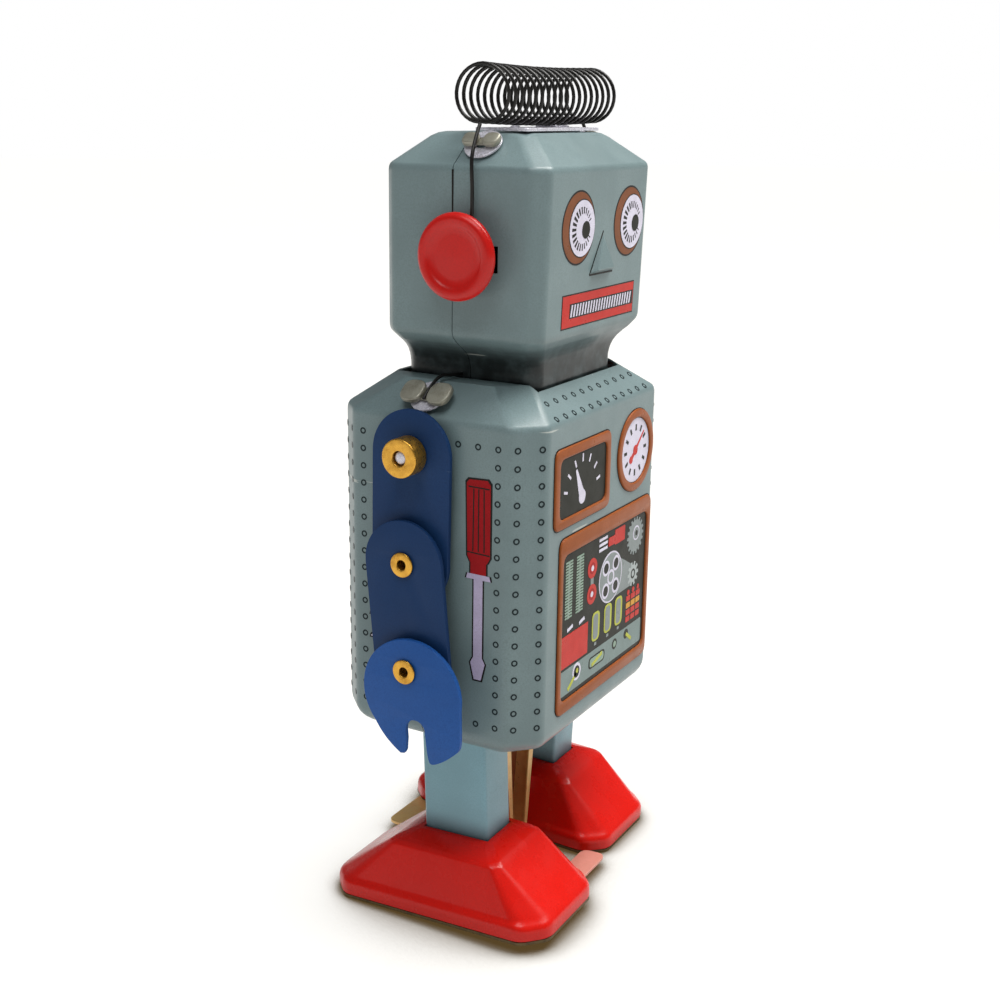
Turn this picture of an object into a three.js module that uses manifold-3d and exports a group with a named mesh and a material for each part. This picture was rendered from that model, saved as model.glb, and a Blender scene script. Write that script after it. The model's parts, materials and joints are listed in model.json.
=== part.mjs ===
// A clockwork tin robot, 200 mm tall: pressed tinplate body and head, riveted arms,
// swinging legs and a key-wound motor. Millimetres, +Z up, the robot faces -Y and
// its own right side is -X. The trunk is drawn about its middle (y = 0), and the
// last group moves the whole toy so that the origin is the bottom centre of its box.
import * as THREE from 'three';
import { mergeVertices } from 'three/addons/utils/BufferGeometryUtils.js';
import Module from 'manifold-3d';

const wasm = await Module();
wasm.setup();

// ---- driving dimensions ----
const TIN = 0.5; // thickness of the pressed tinplate
const GAP = 0.3; // room between neighbouring pieces

const BODY = { halfX: 35, front: -26, back: 27.5, corner: 6.2, bottom: 45, top: 130 };
const BODY_LIP = { rise: 5, inset: 4.2 }; // rounded lower edge
const ROOF = { eaves: 123, insetX: 8.5, insetY: 8.5 }; // slope up to the flat top
const BODY_SEAM_Y = 3;

const NECK = { halfX: 20, halfY: 17.5, midY: -0.5, corner: 2.5, bottom: 126, top: 132 };
const HEAD = { halfX: 28.2, front: -23.4, back: 18, corner: 3.2, jaw: 139.5, brow: 177.3, top: 184.4 };
const JAW_DRAFT = 1.2; // the face leans back by this much at the jaw
const CROWN = { halfX: 19.5, front: -14.6, back: 10, corner: 2.6 };
const HEAD_SEAM_Y = -0.9;

const EAR = { y: -4.7, z: 158.6, radius: 9.5, inner: 25.2, back: 32, thickness: 2.5, stud: 1.5 };
const EAR_SLOT = { y: -11.1, z: 158, width: 2.4, height: 5.8 };

const SPRING = {
  y: -6.6, z: 193, radius: 6.05, wire: 0.46, halfLength: 24.2, turns: 18, sag: 0.5, skew: -0.07,
};
const PLATE = { x0: -18.5, x1: 17, y0: -13.8, y1: -0.5, thickness: 0.7 };
const PLATE_TAB = { x0: 3, x1: 9.5, y0: -9.5, y1: -4, height: 0.5 };
const LEAD_RADIUS = 0.5; // antenna lead, bent by hand down each side of the head
const TIE_RADIUS = 0.45; // wire from each shoulder clip to the neck

const SHOULDER = { y: 3.8, z: 115 };
const ELBOW = { y: 4.2, z: 90 };
const WRIST = { y: 1.9, z: 65.6 };
const ARM = { halfWidth: 10.2, thickness: 1.2, upper: 36.8, fore: 39.6, hand: 42.4 };
const HAND = {
  palm: 13, palmShift: -1.6, palmDrop: 5.2, rearCut: 0.7, frontCut: 0.12,
  slotShift: -1.1, slotHalf: 2.6, slotDrop: 8.9, frontJaw: 16.6, rearJaw: 15.3,
};
const COLLAR = { radius: 4.45, length: 4.6, bore: 1.7 };
const PIN_RADIUS = 1.5;
const PIN_HEAD = { radius: 3, start: 31.5, end: 33 }; // inside the body
const EYELET = { flange: 2.9, barrel: 1.9, bore: 1.0, lip: 0.5 };
const WASHER = { radius: 4.3, hole: 1.5, thickness: 0.5 };
const CLIP = { slot: 1.7, height: 1.5, bridge: 0.4 }; // two folded tabs either side of a slot

const HIP = { z: 100, y: 0, axle: 1.6, flange: 2.6, swing: 2.3 }; // swing: degrees either side of upright
const LEG = { inner: 17.8, outer: 29.2, halfY: 8.75, top: 60, bottom: 14 };
const FOOT = { inner: 8, outer: 40.5, toe: -28.6, heel: 31.5, corner: 5.2, rim: 5.2, top: 19.5 };
const INSTEP = { inner: 13, outer: 36, halfY: 15, corner: 1.8, drop: 1.9 };
const ANKLE = { margin: 1.5, corner: 1 }; // the flat rim around the leg
const SOLE = 0.8;
const TAB = { root: 12, round: 2.4 }; // a tongue on each sole, short of the other foot, steadies the walk
const TAB_SPANS = {
  right: { y0: -22.8, y1: -16.3, tip: 7.3 },
  left: { y0: 21.7, y1: 28.2, tip: 6.2 },
};

const STRUT = { top: 60, bottom: 4.9, topWidth: 22.5, bottomWidth: 8, front: -5, back: 0 };

const ARBOR = { z: 92, radius: 1.6 };
const DRIVE = { z: 73, radius: 1.1 };
const CRANK = { y: -1.5, z: 73, radius: 1.2, pin: 0.9, throw: 1.1, web: 3.2 };
const MOTOR = { halfX: 16.8, bottom: 62, top: 112, front: 5, back: 20, cheek: 14.6 };
const SPUR = { module: 38 / 46, wheelTeeth: 36, pinionTeeth: 10 };
const CROWN_GEAR = { teeth: 24, inner: 7, outer: 10.2, face: 1.2, disc: 2.9, half: 0.35 };
const CRANK_PINION = { teeth: 8, root: 2, tip: 3.1, x0: 7, x1: 10 };
const MAINSPRING = { inner: 2.4, outer: 12, turns: 4, thickness: 0.6, y: 7, width: 5 };
const RATCHET = { teeth: 12, module: 0.9, y: 17.6, width: 1.2 };
const CLICK = { tip: 6.6, tipWidth: 0.9, top: 12, tail: 2.5, heel: 2.2 };
const GREAT_WHEEL = { y: 13.6, width: 1.4 };
const KEY = { shaft: 2.2, y0: 30, y1: 35.4, tip: 43, wing: 11.5 };

const OVERALL_MID_Y = 5.25; // middle of the whole toy's box, front to back

// ---- materials ----
function metal(color, roughness, metalness) {
  return new THREE.MeshStandardMaterial({ color, roughness, metalness });
}
const FINISH = {
  grey: [0x80969a, 0.4, 0.1],
  legGrey: [0x6f929e, 0.4, 0.1],
  red: [0xc4231f, 0.25, 0.1],
  navy: [0x20376b, 0.4, 0.2],
  blue: [0x2e508c, 0.35, 0.2],
  brass: [0xd7a032, 0.3, 0.9],
  gold: [0xc99a4e, 0.35, 0.8],
  steel: [0xb4b6b8, 0.3, 0.9],
  black: [0x1c1a18, 0.45, 0.6],
  spring: [0x3d4650, 0.35, 0.8],
};

// ---- geometry helpers ----
const ALONG_X = new THREE.Matrix4().makeBasis(
  new THREE.Vector3(0, 1, 0), new THREE.Vector3(0, 0, 1), new THREE.Vector3(1, 0, 0));
const ALONG_Y = new THREE.Matrix4().makeBasis(
  new THREE.Vector3(0, 0, 1), new THREE.Vector3(1, 0, 0), new THREE.Vector3(0, 1, 0));

function signedVolume(geometry) {
  const p = geometry.attributes.position;
  const index = geometry.index.array;
  const [a, b, c] = [new THREE.Vector3(), new THREE.Vector3(), new THREE.Vector3()];
  let sum = 0;
  for (let i = 0; i < index.length; i += 3) {
    a.fromBufferAttribute(p, index[i]);
    b.fromBufferAttribute(p, index[i + 1]);
    c.fromBufferAttribute(p, index[i + 2]);
    sum += a.dot(b.cross(c)) / 6;
  }
  return sum;
}

// Merge shared corners, drop collapsed triangles and turn every face outwards.
function closed(source) {
  const geometry = source.clone();
  geometry.deleteAttribute('normal');
  geometry.deleteAttribute('uv');
  const merged = mergeVertices(geometry, 1e-4);
  const old = merged.index.array;
  const kept = [];
  for (let i = 0; i < old.length; i += 3) {
    const [a, b, c] = [old[i], old[i + 1], old[i + 2]];
    if (a !== b && b !== c && c !== a) kept.push(a, b, c);
  }
  merged.setIndex(kept);
  if (signedVolume(merged) < 0) {
    for (let i = 0; i < kept.length; i += 3) [kept[i], kept[i + 1]] = [kept[i + 1], kept[i]];
    merged.setIndex(kept);
  }
  return merged;
}

function solid(source) {
  const geometry = closed(source);
  return new wasm.Manifold(new wasm.Mesh({
    numProp: 3,
    vertProperties: new Float32Array(geometry.attributes.position.array),
    triVerts: new Uint32Array(geometry.index.array),
  }));
}

function surface(manifold) {
  const mesh = manifold.getMesh();
  const geometry = new THREE.BufferGeometry();
  geometry.setAttribute('position', new THREE.BufferAttribute(new Float32Array(mesh.vertProperties), 3));
  geometry.setIndex(Array.from(mesh.triVerts));
  return geometry;
}

const cut = (a, ...tools) => surface(tools.reduce((m, t) => m.subtract(solid(t)), solid(a)));
const join = (a, ...more) => surface(more.reduce((m, t) => m.add(solid(t)), solid(a)));
const common = (a, b) => surface(solid(a).intersect(solid(b)));

function block(x0, x1, y0, y1, z0, z1) {
  const box = new THREE.BoxGeometry(x1 - x0, y1 - y0, z1 - z0);
  return box.translate((x0 + x1) / 2, (y0 + y1) / 2, (z0 + z1) / 2);
}

// A rounded-off rectangle: each corner is a chamfer whose two bends are small facets.
function outline(x0, x1, y0, y1, corner, bend = 0.28) {
  const soft = corner * bend;
  const points = [];
  const corners = [[x1, y0, 0, 1], [x1, y1, -1, 0], [x0, y1, 0, -1], [x0, y0, 1, 0]];
  corners.forEach(([cx, cy], i) => {
    const before = corners[(i + 3) % 4];
    const after = corners[(i + 1) % 4];
    const inX = Math.sign(before[0] - cx);
    const inY = Math.sign(before[1] - cy);
    const outX = Math.sign(after[0] - cx);
    const outY = Math.sign(after[1] - cy);
    const near = corner - soft / 2;
    const far = corner + soft / 2;
    const slip = soft / 2;
    points.push([cx + inX * far, cy + inY * far]);
    points.push([cx + inX * near + outX * slip, cy + inY * near + outY * slip]);
    points.push([cx + outX * near + inX * slip, cy + outY * near + inY * slip]);
    points.push([cx + outX * far, cy + outY * far]);
  });
  return points;
}

// A closed solid through stacked convex outlines, each { z, points }, from low to high.
function loft(levels) {
  const count = levels[0].points.length;
  const positions = levels.flatMap(({ z, points }) => points.flatMap(([x, y]) => [x, y, z]));
  const faces = [];
  for (let k = 0; k + 1 < levels.length; k += 1) {
    for (let i = 0; i < count; i += 1) {
      const j = (i + 1) % count;
      const [a, b] = [k * count + i, k * count + j];
      faces.push(a, b, b + count, a, b + count, a + count);
    }
  }
  const last = (levels.length - 1) * count;
  for (let i = 1; i + 1 < count; i += 1) {
    faces.push(0, i + 1, i);
    faces.push(last, last + i, last + i + 1);
  }
  const geometry = new THREE.BufferGeometry();
  geometry.setAttribute('position', new THREE.Float32BufferAttribute(positions, 3));
  geometry.setIndex(faces);
  return geometry;
}

// Flat plate between x and x + depth; the shape is drawn in (y, z).
function plateX(shape, x, depth, curveSegments = 10) {
  const plate = new THREE.ExtrudeGeometry(shape, { depth, bevelEnabled: false, curveSegments });
  return plate.applyMatrix4(ALONG_X).translate(x, 0, 0);
}

// Flat plate between y and y + depth; the shape is drawn in (z, x).
function plateY(shape, y, depth, curveSegments = 10) {
  const plate = new THREE.ExtrudeGeometry(shape, { depth, bevelEnabled: false, curveSegments });
  return plate.applyMatrix4(ALONG_Y).translate(0, y, 0);
}

function circle(u, v, radius) {
  const path = new THREE.Path();
  path.absarc(u, v, radius, 0, Math.PI * 2, true);
  return path;
}

function disc(u, v, radius, hole = 0) {
  const shape = new THREE.Shape();
  shape.absarc(u, v, radius, 0, Math.PI * 2, false);
  if (hole > 0) shape.holes.push(circle(u, v, hole));
  return shape;
}

// A turned piece; the profile lists [radius, distance along the axis].
function turned(profile, sides) {
  return closed(new THREE.LatheGeometry(profile.map(([r, h]) => new THREE.Vector2(r, h)), sides));
}

const turnedX = (profile, y, z, sides = 20) =>
  turned(profile, sides).rotateZ(-Math.PI / 2).translate(0, y, z);
const turnedY = (profile, x, z, sides = 20) => turned(profile, sides).translate(x, 0, z);

const rodX = (radius, x0, x1, y, z, sides = 16) =>
  turnedX([[0, x0], [radius, x0], [radius, x1], [0, x1]], y, z, sides);
const rodY = (radius, y0, y1, x, z, sides = 16) =>
  turnedY([[0, y0], [radius, y0], [radius, y1], [0, y1]], x, z, sides);

// A round wire along a curve.
function wire(curve, radius, steps, sides) {
  const section = new THREE.Shape();
  for (let i = 0; i < sides; i += 1) {
    const a = (i / sides) * Math.PI * 2;
    const [u, v] = [radius * Math.cos(a), radius * Math.sin(a)];
    if (i === 0) section.moveTo(u, v);
    else section.lineTo(u, v);
  }
  return new THREE.ExtrudeGeometry(section, { extrudePath: curve, steps, bevelEnabled: false });
}

// Spur gear outline centred on (u, v); phase 0 has a tooth along +u, phase 0.5 a gap.
function gear(u, v, teeth, module, hole, phase = 0) {
  const root = (teeth * module) / 2 - 1.15 * module;
  const tip = (teeth * module) / 2 + 0.8 * module;
  const pitch = (Math.PI * 2) / teeth;
  const shape = new THREE.Shape();
  for (let i = 0; i < teeth; i += 1) {
    [[-0.27, root], [-0.11, tip], [0.11, tip], [0.27, root]].forEach(([part, r], k) => {
      const a = (i + part + phase) * pitch;
      const [p, q] = [u + r * Math.cos(a), v + r * Math.sin(a)];
      if (i === 0 && k === 0) shape.moveTo(p, q);
      else shape.lineTo(p, q);
    });
  }
  if (hole > 0) shape.holes.push(circle(u, v, hole));
  return shape;
}

const toy = new THREE.Group();

function add(name, geometry, finish, parent = toy) {
  const mesh = new THREE.Mesh(geometry.index ? geometry : closed(geometry), metal(...FINISH[finish]));
  mesh.name = name;
  parent.add(mesh);
  return mesh;
}

const SIDES = [['right', -1], ['left', 1]];

// ---- trunk: two tinplate shells, open below ----
function bodyLevels(shrink) {
  const { halfX, front, back, corner, bottom, top } = BODY;
  const ring = (z, insetX, insetY) => ({
    z,
    points: outline(-halfX + insetX + shrink, halfX - insetX - shrink,
      front + insetY + shrink, back - insetY - shrink, corner - shrink * 0.4),
  });
  const { rise, inset } = BODY_LIP;
  const foot = shrink > 0 ? bottom - 1 : bottom;
  const flat = 0.7;
  return [
    ring(foot, inset, inset),
    ring(bottom + 0.12 * rise, inset * 0.62, inset * 0.62),
    ring(bottom + 0.45 * rise, inset * 0.2, inset * 0.2),
    ring(bottom + rise, 0, 0),
    ring(ROOF.eaves - 1, 0, 0),
    ring(ROOF.eaves + 1, ROOF.insetX * 0.13, ROOF.insetY * 0.13),
    ring(top - flat - shrink, ROOF.insetX - flat, ROOF.insetY - flat),
    ring(top - shrink, ROOF.insetX + flat, ROOF.insetY + flat),
  ];
}

const neckHole = block(-NECK.halfX - 1, NECK.halfX + 1,
  NECK.midY - NECK.halfY - 1, NECK.midY + NECK.halfY + 1, ROOF.eaves, BODY.top + 5);
const keyHole = rodY(KEY.shaft + 1.2, BODY.back - 5, BODY.back + 5, 0, ARBOR.z, 18);
const shoulderHoles = SIDES.map(([, s]) =>
  rodX(PIN_RADIUS + GAP, s * 30, s * 40, SHOULDER.y, SHOULDER.z, 12));
const bodySkin = cut(loft(bodyLevels(0)), loft(bodyLevels(TIN)), neckHole, keyHole, ...shoulderHoles);
const ALL = 80;
const ahead = (y) => block(-ALL, ALL, -ALL, y - GAP / 2, -ALL, 3 * ALL);
const behind = (y) => block(-ALL, ALL, y + GAP / 2, ALL, -ALL, 3 * ALL);
add('body_front_shell', common(bodySkin, ahead(BODY_SEAM_Y)), 'grey');
add('body_back_shell', common(bodySkin, behind(BODY_SEAM_Y)), 'grey');

// ---- head: two shells that narrow to a box neck ----
function headLevels(shrink) {
  const { halfX, front, back, corner, jaw, brow, top } = HEAD;
  const ring = (z, hx, y0, y1, c) => ({
    z, points: outline(-hx + shrink, hx - shrink, y0 + shrink, y1 - shrink, c),
  });
  const neckFront = NECK.midY - NECK.halfY;
  const neckBack = NECK.midY + NECK.halfY;
  const jawFront = front + JAW_DRAFT;
  const blend = (t, a, b) => a + (b - a) * t;
  const waist = [[0.25, 0.07], [0.6, 0.35], [0.85, 0.75]].map(([up, out]) => ring(
    blend(up, NECK.top, jaw), blend(out, NECK.halfX, halfX - 1.2),
    blend(out, neckFront, jawFront + 0.8), blend(out, neckBack, back - 1.2),
    blend(out, NECK.corner, corner)));
  const flat = 0.6;
  return [
    ring(shrink > 0 ? NECK.bottom - 1 : NECK.bottom, NECK.halfX, neckFront, neckBack, NECK.corner),
    ring(NECK.top, NECK.halfX, neckFront, neckBack, NECK.corner),
    ...waist,
    ring(jaw + 1.6, halfX, jawFront, back, corner),
    ring(brow - 1, halfX, front, back, corner),
    ring(brow + 0.8, halfX - 1.3, front + 1, back - 1, corner),
    ring(top - flat - shrink, CROWN.halfX + flat, CROWN.front - flat, CROWN.back + flat, CROWN.corner),
    ring(top - shrink, CROWN.halfX - flat, CROWN.front + flat, CROWN.back - flat, CROWN.corner),
  ];
}

const earCuts = SIDES.flatMap(([, s]) => {
  const wall = s * HEAD.halfX;
  const { y, z, width, height } = EAR_SLOT;
  return [
    rodX(EAR.stud + GAP, wall - 3, wall + 3, EAR.y, EAR.z, 12),
    block(wall - 3, wall + 3, y - width / 2, y + width / 2, z - height / 2, z + height / 2),
  ];
});
const headSkin = cut(loft(headLevels(0)), loft(headLevels(TIN)), ...earCuts);
add('head_front_shell', common(headSkin, ahead(HEAD_SEAM_Y)), 'grey');
add('head_back_shell', common(headSkin, behind(HEAD_SEAM_Y)), 'grey');

// ---- ears: dished discs on a stud ----
for (const [side, s] of SIDES) {
  const { inner, back, thickness, radius, stud, y, z } = EAR;
  const face = back + thickness;
  const dish = face - 0.9;
  const profile = [
    [0, inner], [stud, inner], [stud, back], [radius - 0.4, back], [radius, back + 0.5],
    [radius, face - 1], [radius - 1, face], [radius - 2.6, face - 0.3], [radius - 3.4, dish], [0, dish],
  ];
  add(`ear_${side}`, turnedX(profile.map(([r, x]) => [r, s * x]), y, z, 24), 'red');
}

// ---- antenna: coil spring on a plate, with its wires led down behind the ears ----
class Helix extends THREE.Curve {
  getPoint(t) {
    const a = -Math.PI / 2 + t * SPRING.turns * Math.PI * 2;
    const sag = SPRING.sag * Math.sin(t * Math.PI);
    const x = -SPRING.halfLength + 2 * SPRING.halfLength * t;
    const y = SPRING.y + SPRING.skew * x + SPRING.radius * Math.cos(a);
    return new THREE.Vector3(x, y, SPRING.z - sag + SPRING.radius * Math.sin(a));
  }
}
add('antenna_spring', wire(new Helix(), SPRING.wire, SPRING.turns * 9, 4), 'black');

const plateTop = HEAD.top + GAP + PLATE.thickness;
const flatPlate = block(PLATE.x0, PLATE.x1, PLATE.y0, PLATE.y1, HEAD.top + GAP, plateTop);
const foldedTab = block(PLATE_TAB.x0, PLATE_TAB.x1, PLATE_TAB.y0, PLATE_TAB.y1,
  plateTop - 0.1, plateTop + PLATE_TAB.height);
add('antenna_plate', join(flatPlate, foldedTab), 'steel');

// Two rounded lobes on a thin bridge, drawn flat with the slot across the middle.
function lobedClip(span, width) {
  const { slot, height, bridge } = CLIP;
  const lobes = [-1, 1].map((e) => {
    const shape = new THREE.Shape();
    const r = width / 2;
    const tip = e * (span / 2 - r);
    shape.moveTo(e * slot / 2, -r);
    shape.lineTo(tip, -r);
    shape.absarc(tip, 0, r, -Math.PI / 2, Math.PI / 2, e < 0);
    shape.lineTo(e * slot / 2, r);
    const lobe = new THREE.ExtrudeGeometry(shape, { depth: height, bevelEnabled: false, curveSegments: 8 });
    return lobe.rotateZ(Math.PI / 2);
  });
  const link = block(-width * 0.3, width * 0.3, -span * 0.3, span * 0.3, 0, bridge);
  return join(lobes[0], lobes[1], link);
}

function washer() {
  const { radius, hole, thickness } = WASHER;
  const options = { depth: thickness, bevelEnabled: false, curveSegments: 10 };
  return new THREE.ExtrudeGeometry(disc(0, 0, radius, hole), options);
}

// A flat spot on a sloping panel: local +Z leaves the panel, local Y runs front to back.
function slopeGroup(s, x, y, z, lean) {
  const group = new THREE.Group();
  group.position.set(s * x, y, z);
  group.rotation.y = s * lean;
  toy.add(group);
  return group;
}

const headLean = Math.atan2(HEAD.top - HEAD.brow, HEAD.halfX - CROWN.halfX);
const roofLean = Math.atan2(BODY.top - ROOF.eaves, ROOF.insetX);
const HEAD_CLIP = { x: 23.1, y: -5.8, z: 181.3, lean: headLean, span: 9, width: 3.6 };
const BODY_CLIP = { x: 31.2, y: 3.0, z: 126.5, lean: roofLean, span: 12.6, width: 6 };
for (const [side, s] of SIDES) {
  for (const [place, at] of [['head', HEAD_CLIP], ['shoulder', BODY_CLIP]]) {
    const seat = slopeGroup(s, at.x, at.y, at.z, at.lean);
    const ring = add(`${place}_washer_${side}`, washer(), 'steel', seat);
    ring.position.z = 2 * GAP;
    const clip = add(`${place}_clip_${side}`, lobedClip(at.span, at.width), 'steel', seat);
    clip.position.z = 2 * GAP + WASHER.thickness + GAP;
  }
  const lead = new THREE.CatmullRomCurve3([
    [24.8, -5.6, 186.2], [25.8, -5.7, 184.9], [27.7, -6, 182.3], [29.4, -6.3, 178.6],
    [29.4, -6.5, 172], [29.3, -6.3, 166], [29.2, -6, 163],
  ].map(([x, y, z]) => new THREE.Vector3(s * x, y, z)));
  add(`antenna_wire_${side}`, wire(lead, LEAD_RADIUS, 18, 6), 'black');
  const tie = new THREE.CatmullRomCurve3([
    [34, 2.9, 127.1], [30.9, 2.8, 129.5], [27.5, 2.4, 131.6], [24, 1.6, 131.2], [21, 0.8, 130.9],
  ].map(([x, y, z]) => new THREE.Vector3(s * x, y, z)));
  add(`neck_wire_${side}`, wire(tie, TIE_RADIUS, 14, 6), 'black');
}

// ---- arms: three riveted plates on a shoulder pin ----
// Outline of a straight link with round ends, from one pivot to the next, in (y, z).
function link(from, to, radius, holes) {
  const angle = Math.atan2(to.z - from.z, to.y - from.y);
  const shape = new THREE.Shape();
  shape.absarc(to.y, to.z, radius, angle - Math.PI / 2, angle + Math.PI / 2, false);
  shape.absarc(from.y, from.z, radius, angle + Math.PI / 2, angle + Math.PI * 1.5, false);
  holes.forEach(([at, r]) => shape.holes.push(circle(at.y, at.z, r)));
  return shape;
}

// Outline of the open-spanner hand in (y, z): a round palm, a blunt front jaw and a
// pointed rear jaw either side of the slot. Offsets are from the middle of the palm.
function handOutline() {
  const y = WRIST.y + HAND.palmShift;
  const z = WRIST.z - HAND.palmDrop;
  const r = HAND.palm;
  const shape = new THREE.Shape();
  const front = z - HAND.frontJaw;
  const rear = z - HAND.rearJaw;
  shape.absarc(y, z, r, -HAND.rearCut, Math.PI + HAND.frontCut, false);
  shape.quadraticCurveTo(y - r - 0.1, front + 5.6, y - r + 2, front + 3.6);
  shape.lineTo(y - 8.2, front + 1.4);
  shape.quadraticCurveTo(y - 5.2, front, y - 4.4, front + 2);
  shape.lineTo(y + HAND.slotShift - HAND.slotHalf, z - HAND.slotDrop);
  shape.absarc(y + HAND.slotShift, z - HAND.slotDrop, HAND.slotHalf, Math.PI, 0, true);
  shape.lineTo(y + 1.3, rear + 4);
  shape.lineTo(y + 1.6, rear + 0.5);
  shape.lineTo(y + 2.9, rear);
  const cutY = y + r * Math.cos(HAND.rearCut);
  const cutZ = z - r * Math.sin(HAND.rearCut);
  shape.quadraticCurveTo(y + 7.4, rear + 2.6, cutY, cutZ);
  shape.holes.push(circle(WRIST.y, WRIST.z, EYELET.barrel + GAP));
  return shape;
}

// A hollow rivet through two plates: flanges outside, a bore right through.
function eyelet(x0, x1, at) {
  const { flange, barrel, bore, lip } = EYELET;
  const profile = [[bore, x0], [flange, x0], [flange, x0 + lip], [barrel, x0 + lip],
    [barrel, x1 - lip], [flange, x1 - lip], [flange, x1], [bore, x1], [bore, x0]];
  return turnedX(profile, at.y, at.z, 12);
}

for (const [side, s] of SIDES) {
  const plate = (shape, x) => plateX(shape, s < 0 ? -x - ARM.thickness : x, ARM.thickness, 9);
  const span = (a, b) => (s < 0 ? [-b, -a] : [a, b]);
  const pinHole = [SHOULDER, PIN_RADIUS + GAP];
  const rivetHole = EYELET.barrel + GAP;
  add(`upper_arm_${side}`, plate(link(SHOULDER, ELBOW, ARM.halfWidth,
    [pinHole, [ELBOW, rivetHole]]), ARM.upper), 'navy');
  add(`forearm_${side}`, plate(link(ELBOW, WRIST, ARM.halfWidth,
    [[ELBOW, rivetHole], [WRIST, rivetHole]]), ARM.fore), 'navy');
  add(`hand_${side}`, plate(handOutline(), ARM.hand), 'blue');
  const ends = (inner, outer) => span(inner - EYELET.lip - GAP, outer + ARM.thickness + EYELET.lip + GAP);
  add(`elbow_rivet_${side}`, eyelet(...ends(ARM.upper, ARM.fore), ELBOW), 'brass');
  add(`wrist_rivet_${side}`, eyelet(...ends(ARM.fore, ARM.hand), WRIST), 'brass');
  const collarStart = ARM.upper + ARM.thickness + GAP;
  const [c0, c1] = span(collarStart, collarStart + COLLAR.length);
  add(`shoulder_collar_${side}`, turnedX([[COLLAR.bore, c0], [COLLAR.radius, c0],
    [COLLAR.radius, c1], [COLLAR.bore, c1], [COLLAR.bore, c0]], SHOULDER.y, SHOULDER.z, 24), 'brass');
  const { radius: headRadius, start, end } = PIN_HEAD;
  const tip = collarStart + COLLAR.length - 0.6;
  const pin = [
    [0, start], [headRadius, start], [headRadius, end], [PIN_RADIUS, end], [PIN_RADIUS, tip], [0, tip],
  ];
  add(`shoulder_pin_${side}`, turnedX(pin.map(([r, x]) => [r, s * x]), SHOULDER.y, SHOULDER.z, 16), 'steel');
}

// ---- legs: a folded tube with a hanger strip, in a pressed foot ----
const radians = Math.PI / 180;
const swing = HIP.swing * radians;
const SOLE_Z = HIP.z - (HIP.z - FOOT.heel * Math.sin(swing)) / Math.cos(swing);

function footLevels(s, shrink) {
  const ring = (z, inner, outer, y0, y1, c) => {
    const xs = [s * inner, s * outer].sort((a, b) => a - b);
    return { z, points: outline(xs[0] + shrink, xs[1] - shrink, y0 + shrink, y1 - shrink, c) };
  };
  const { inner, outer, toe, heel, corner, rim, top } = FOOT;
  const start = SOLE_Z + SOLE + GAP;
  return [
    ring(shrink > 0 ? start - 1 : start, inner, outer, toe, heel, corner),
    ring(rim, inner, outer, toe, heel, corner),
    ring(rim + 1.2, inner + 1, outer - 1, toe + 1.2, heel - 1.2, corner),
    ring(top - INSTEP.drop - 0.7 - shrink, INSTEP.inner - 0.3, INSTEP.outer + 0.3,
      -INSTEP.halfY - 0.7, INSTEP.halfY + 0.7, INSTEP.corner),
    ring(top - INSTEP.drop - shrink, INSTEP.inner + 0.5, INSTEP.outer - 0.5,
      -INSTEP.halfY + 0.3, INSTEP.halfY - 0.3, INSTEP.corner),
    ring(top - shrink, LEG.inner - ANKLE.margin, LEG.outer + ANKLE.margin,
      -LEG.halfY - ANKLE.margin, LEG.halfY + ANKLE.margin, ANKLE.corner),
  ];
}

function soleTab(side, s) {
  const { y0, y1, tip } = TAB_SPANS[side];
  const end = -s * tip;
  const bend = -s * (tip - TAB.round);
  const shape = new THREE.Shape();
  shape.moveTo(s * TAB.root, y0);
  shape.lineTo(bend, y0);
  shape.quadraticCurveTo(end, y0, end, y0 + TAB.round);
  shape.lineTo(end, y1 - TAB.round);
  shape.quadraticCurveTo(end, y1, bend, y1);
  shape.lineTo(s * TAB.root, y1);
  const options = { depth: SOLE, bevelEnabled: false, curveSegments: 5 };
  return new THREE.ExtrudeGeometry(shape, options).translate(0, 0, SOLE_Z);
}

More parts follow.
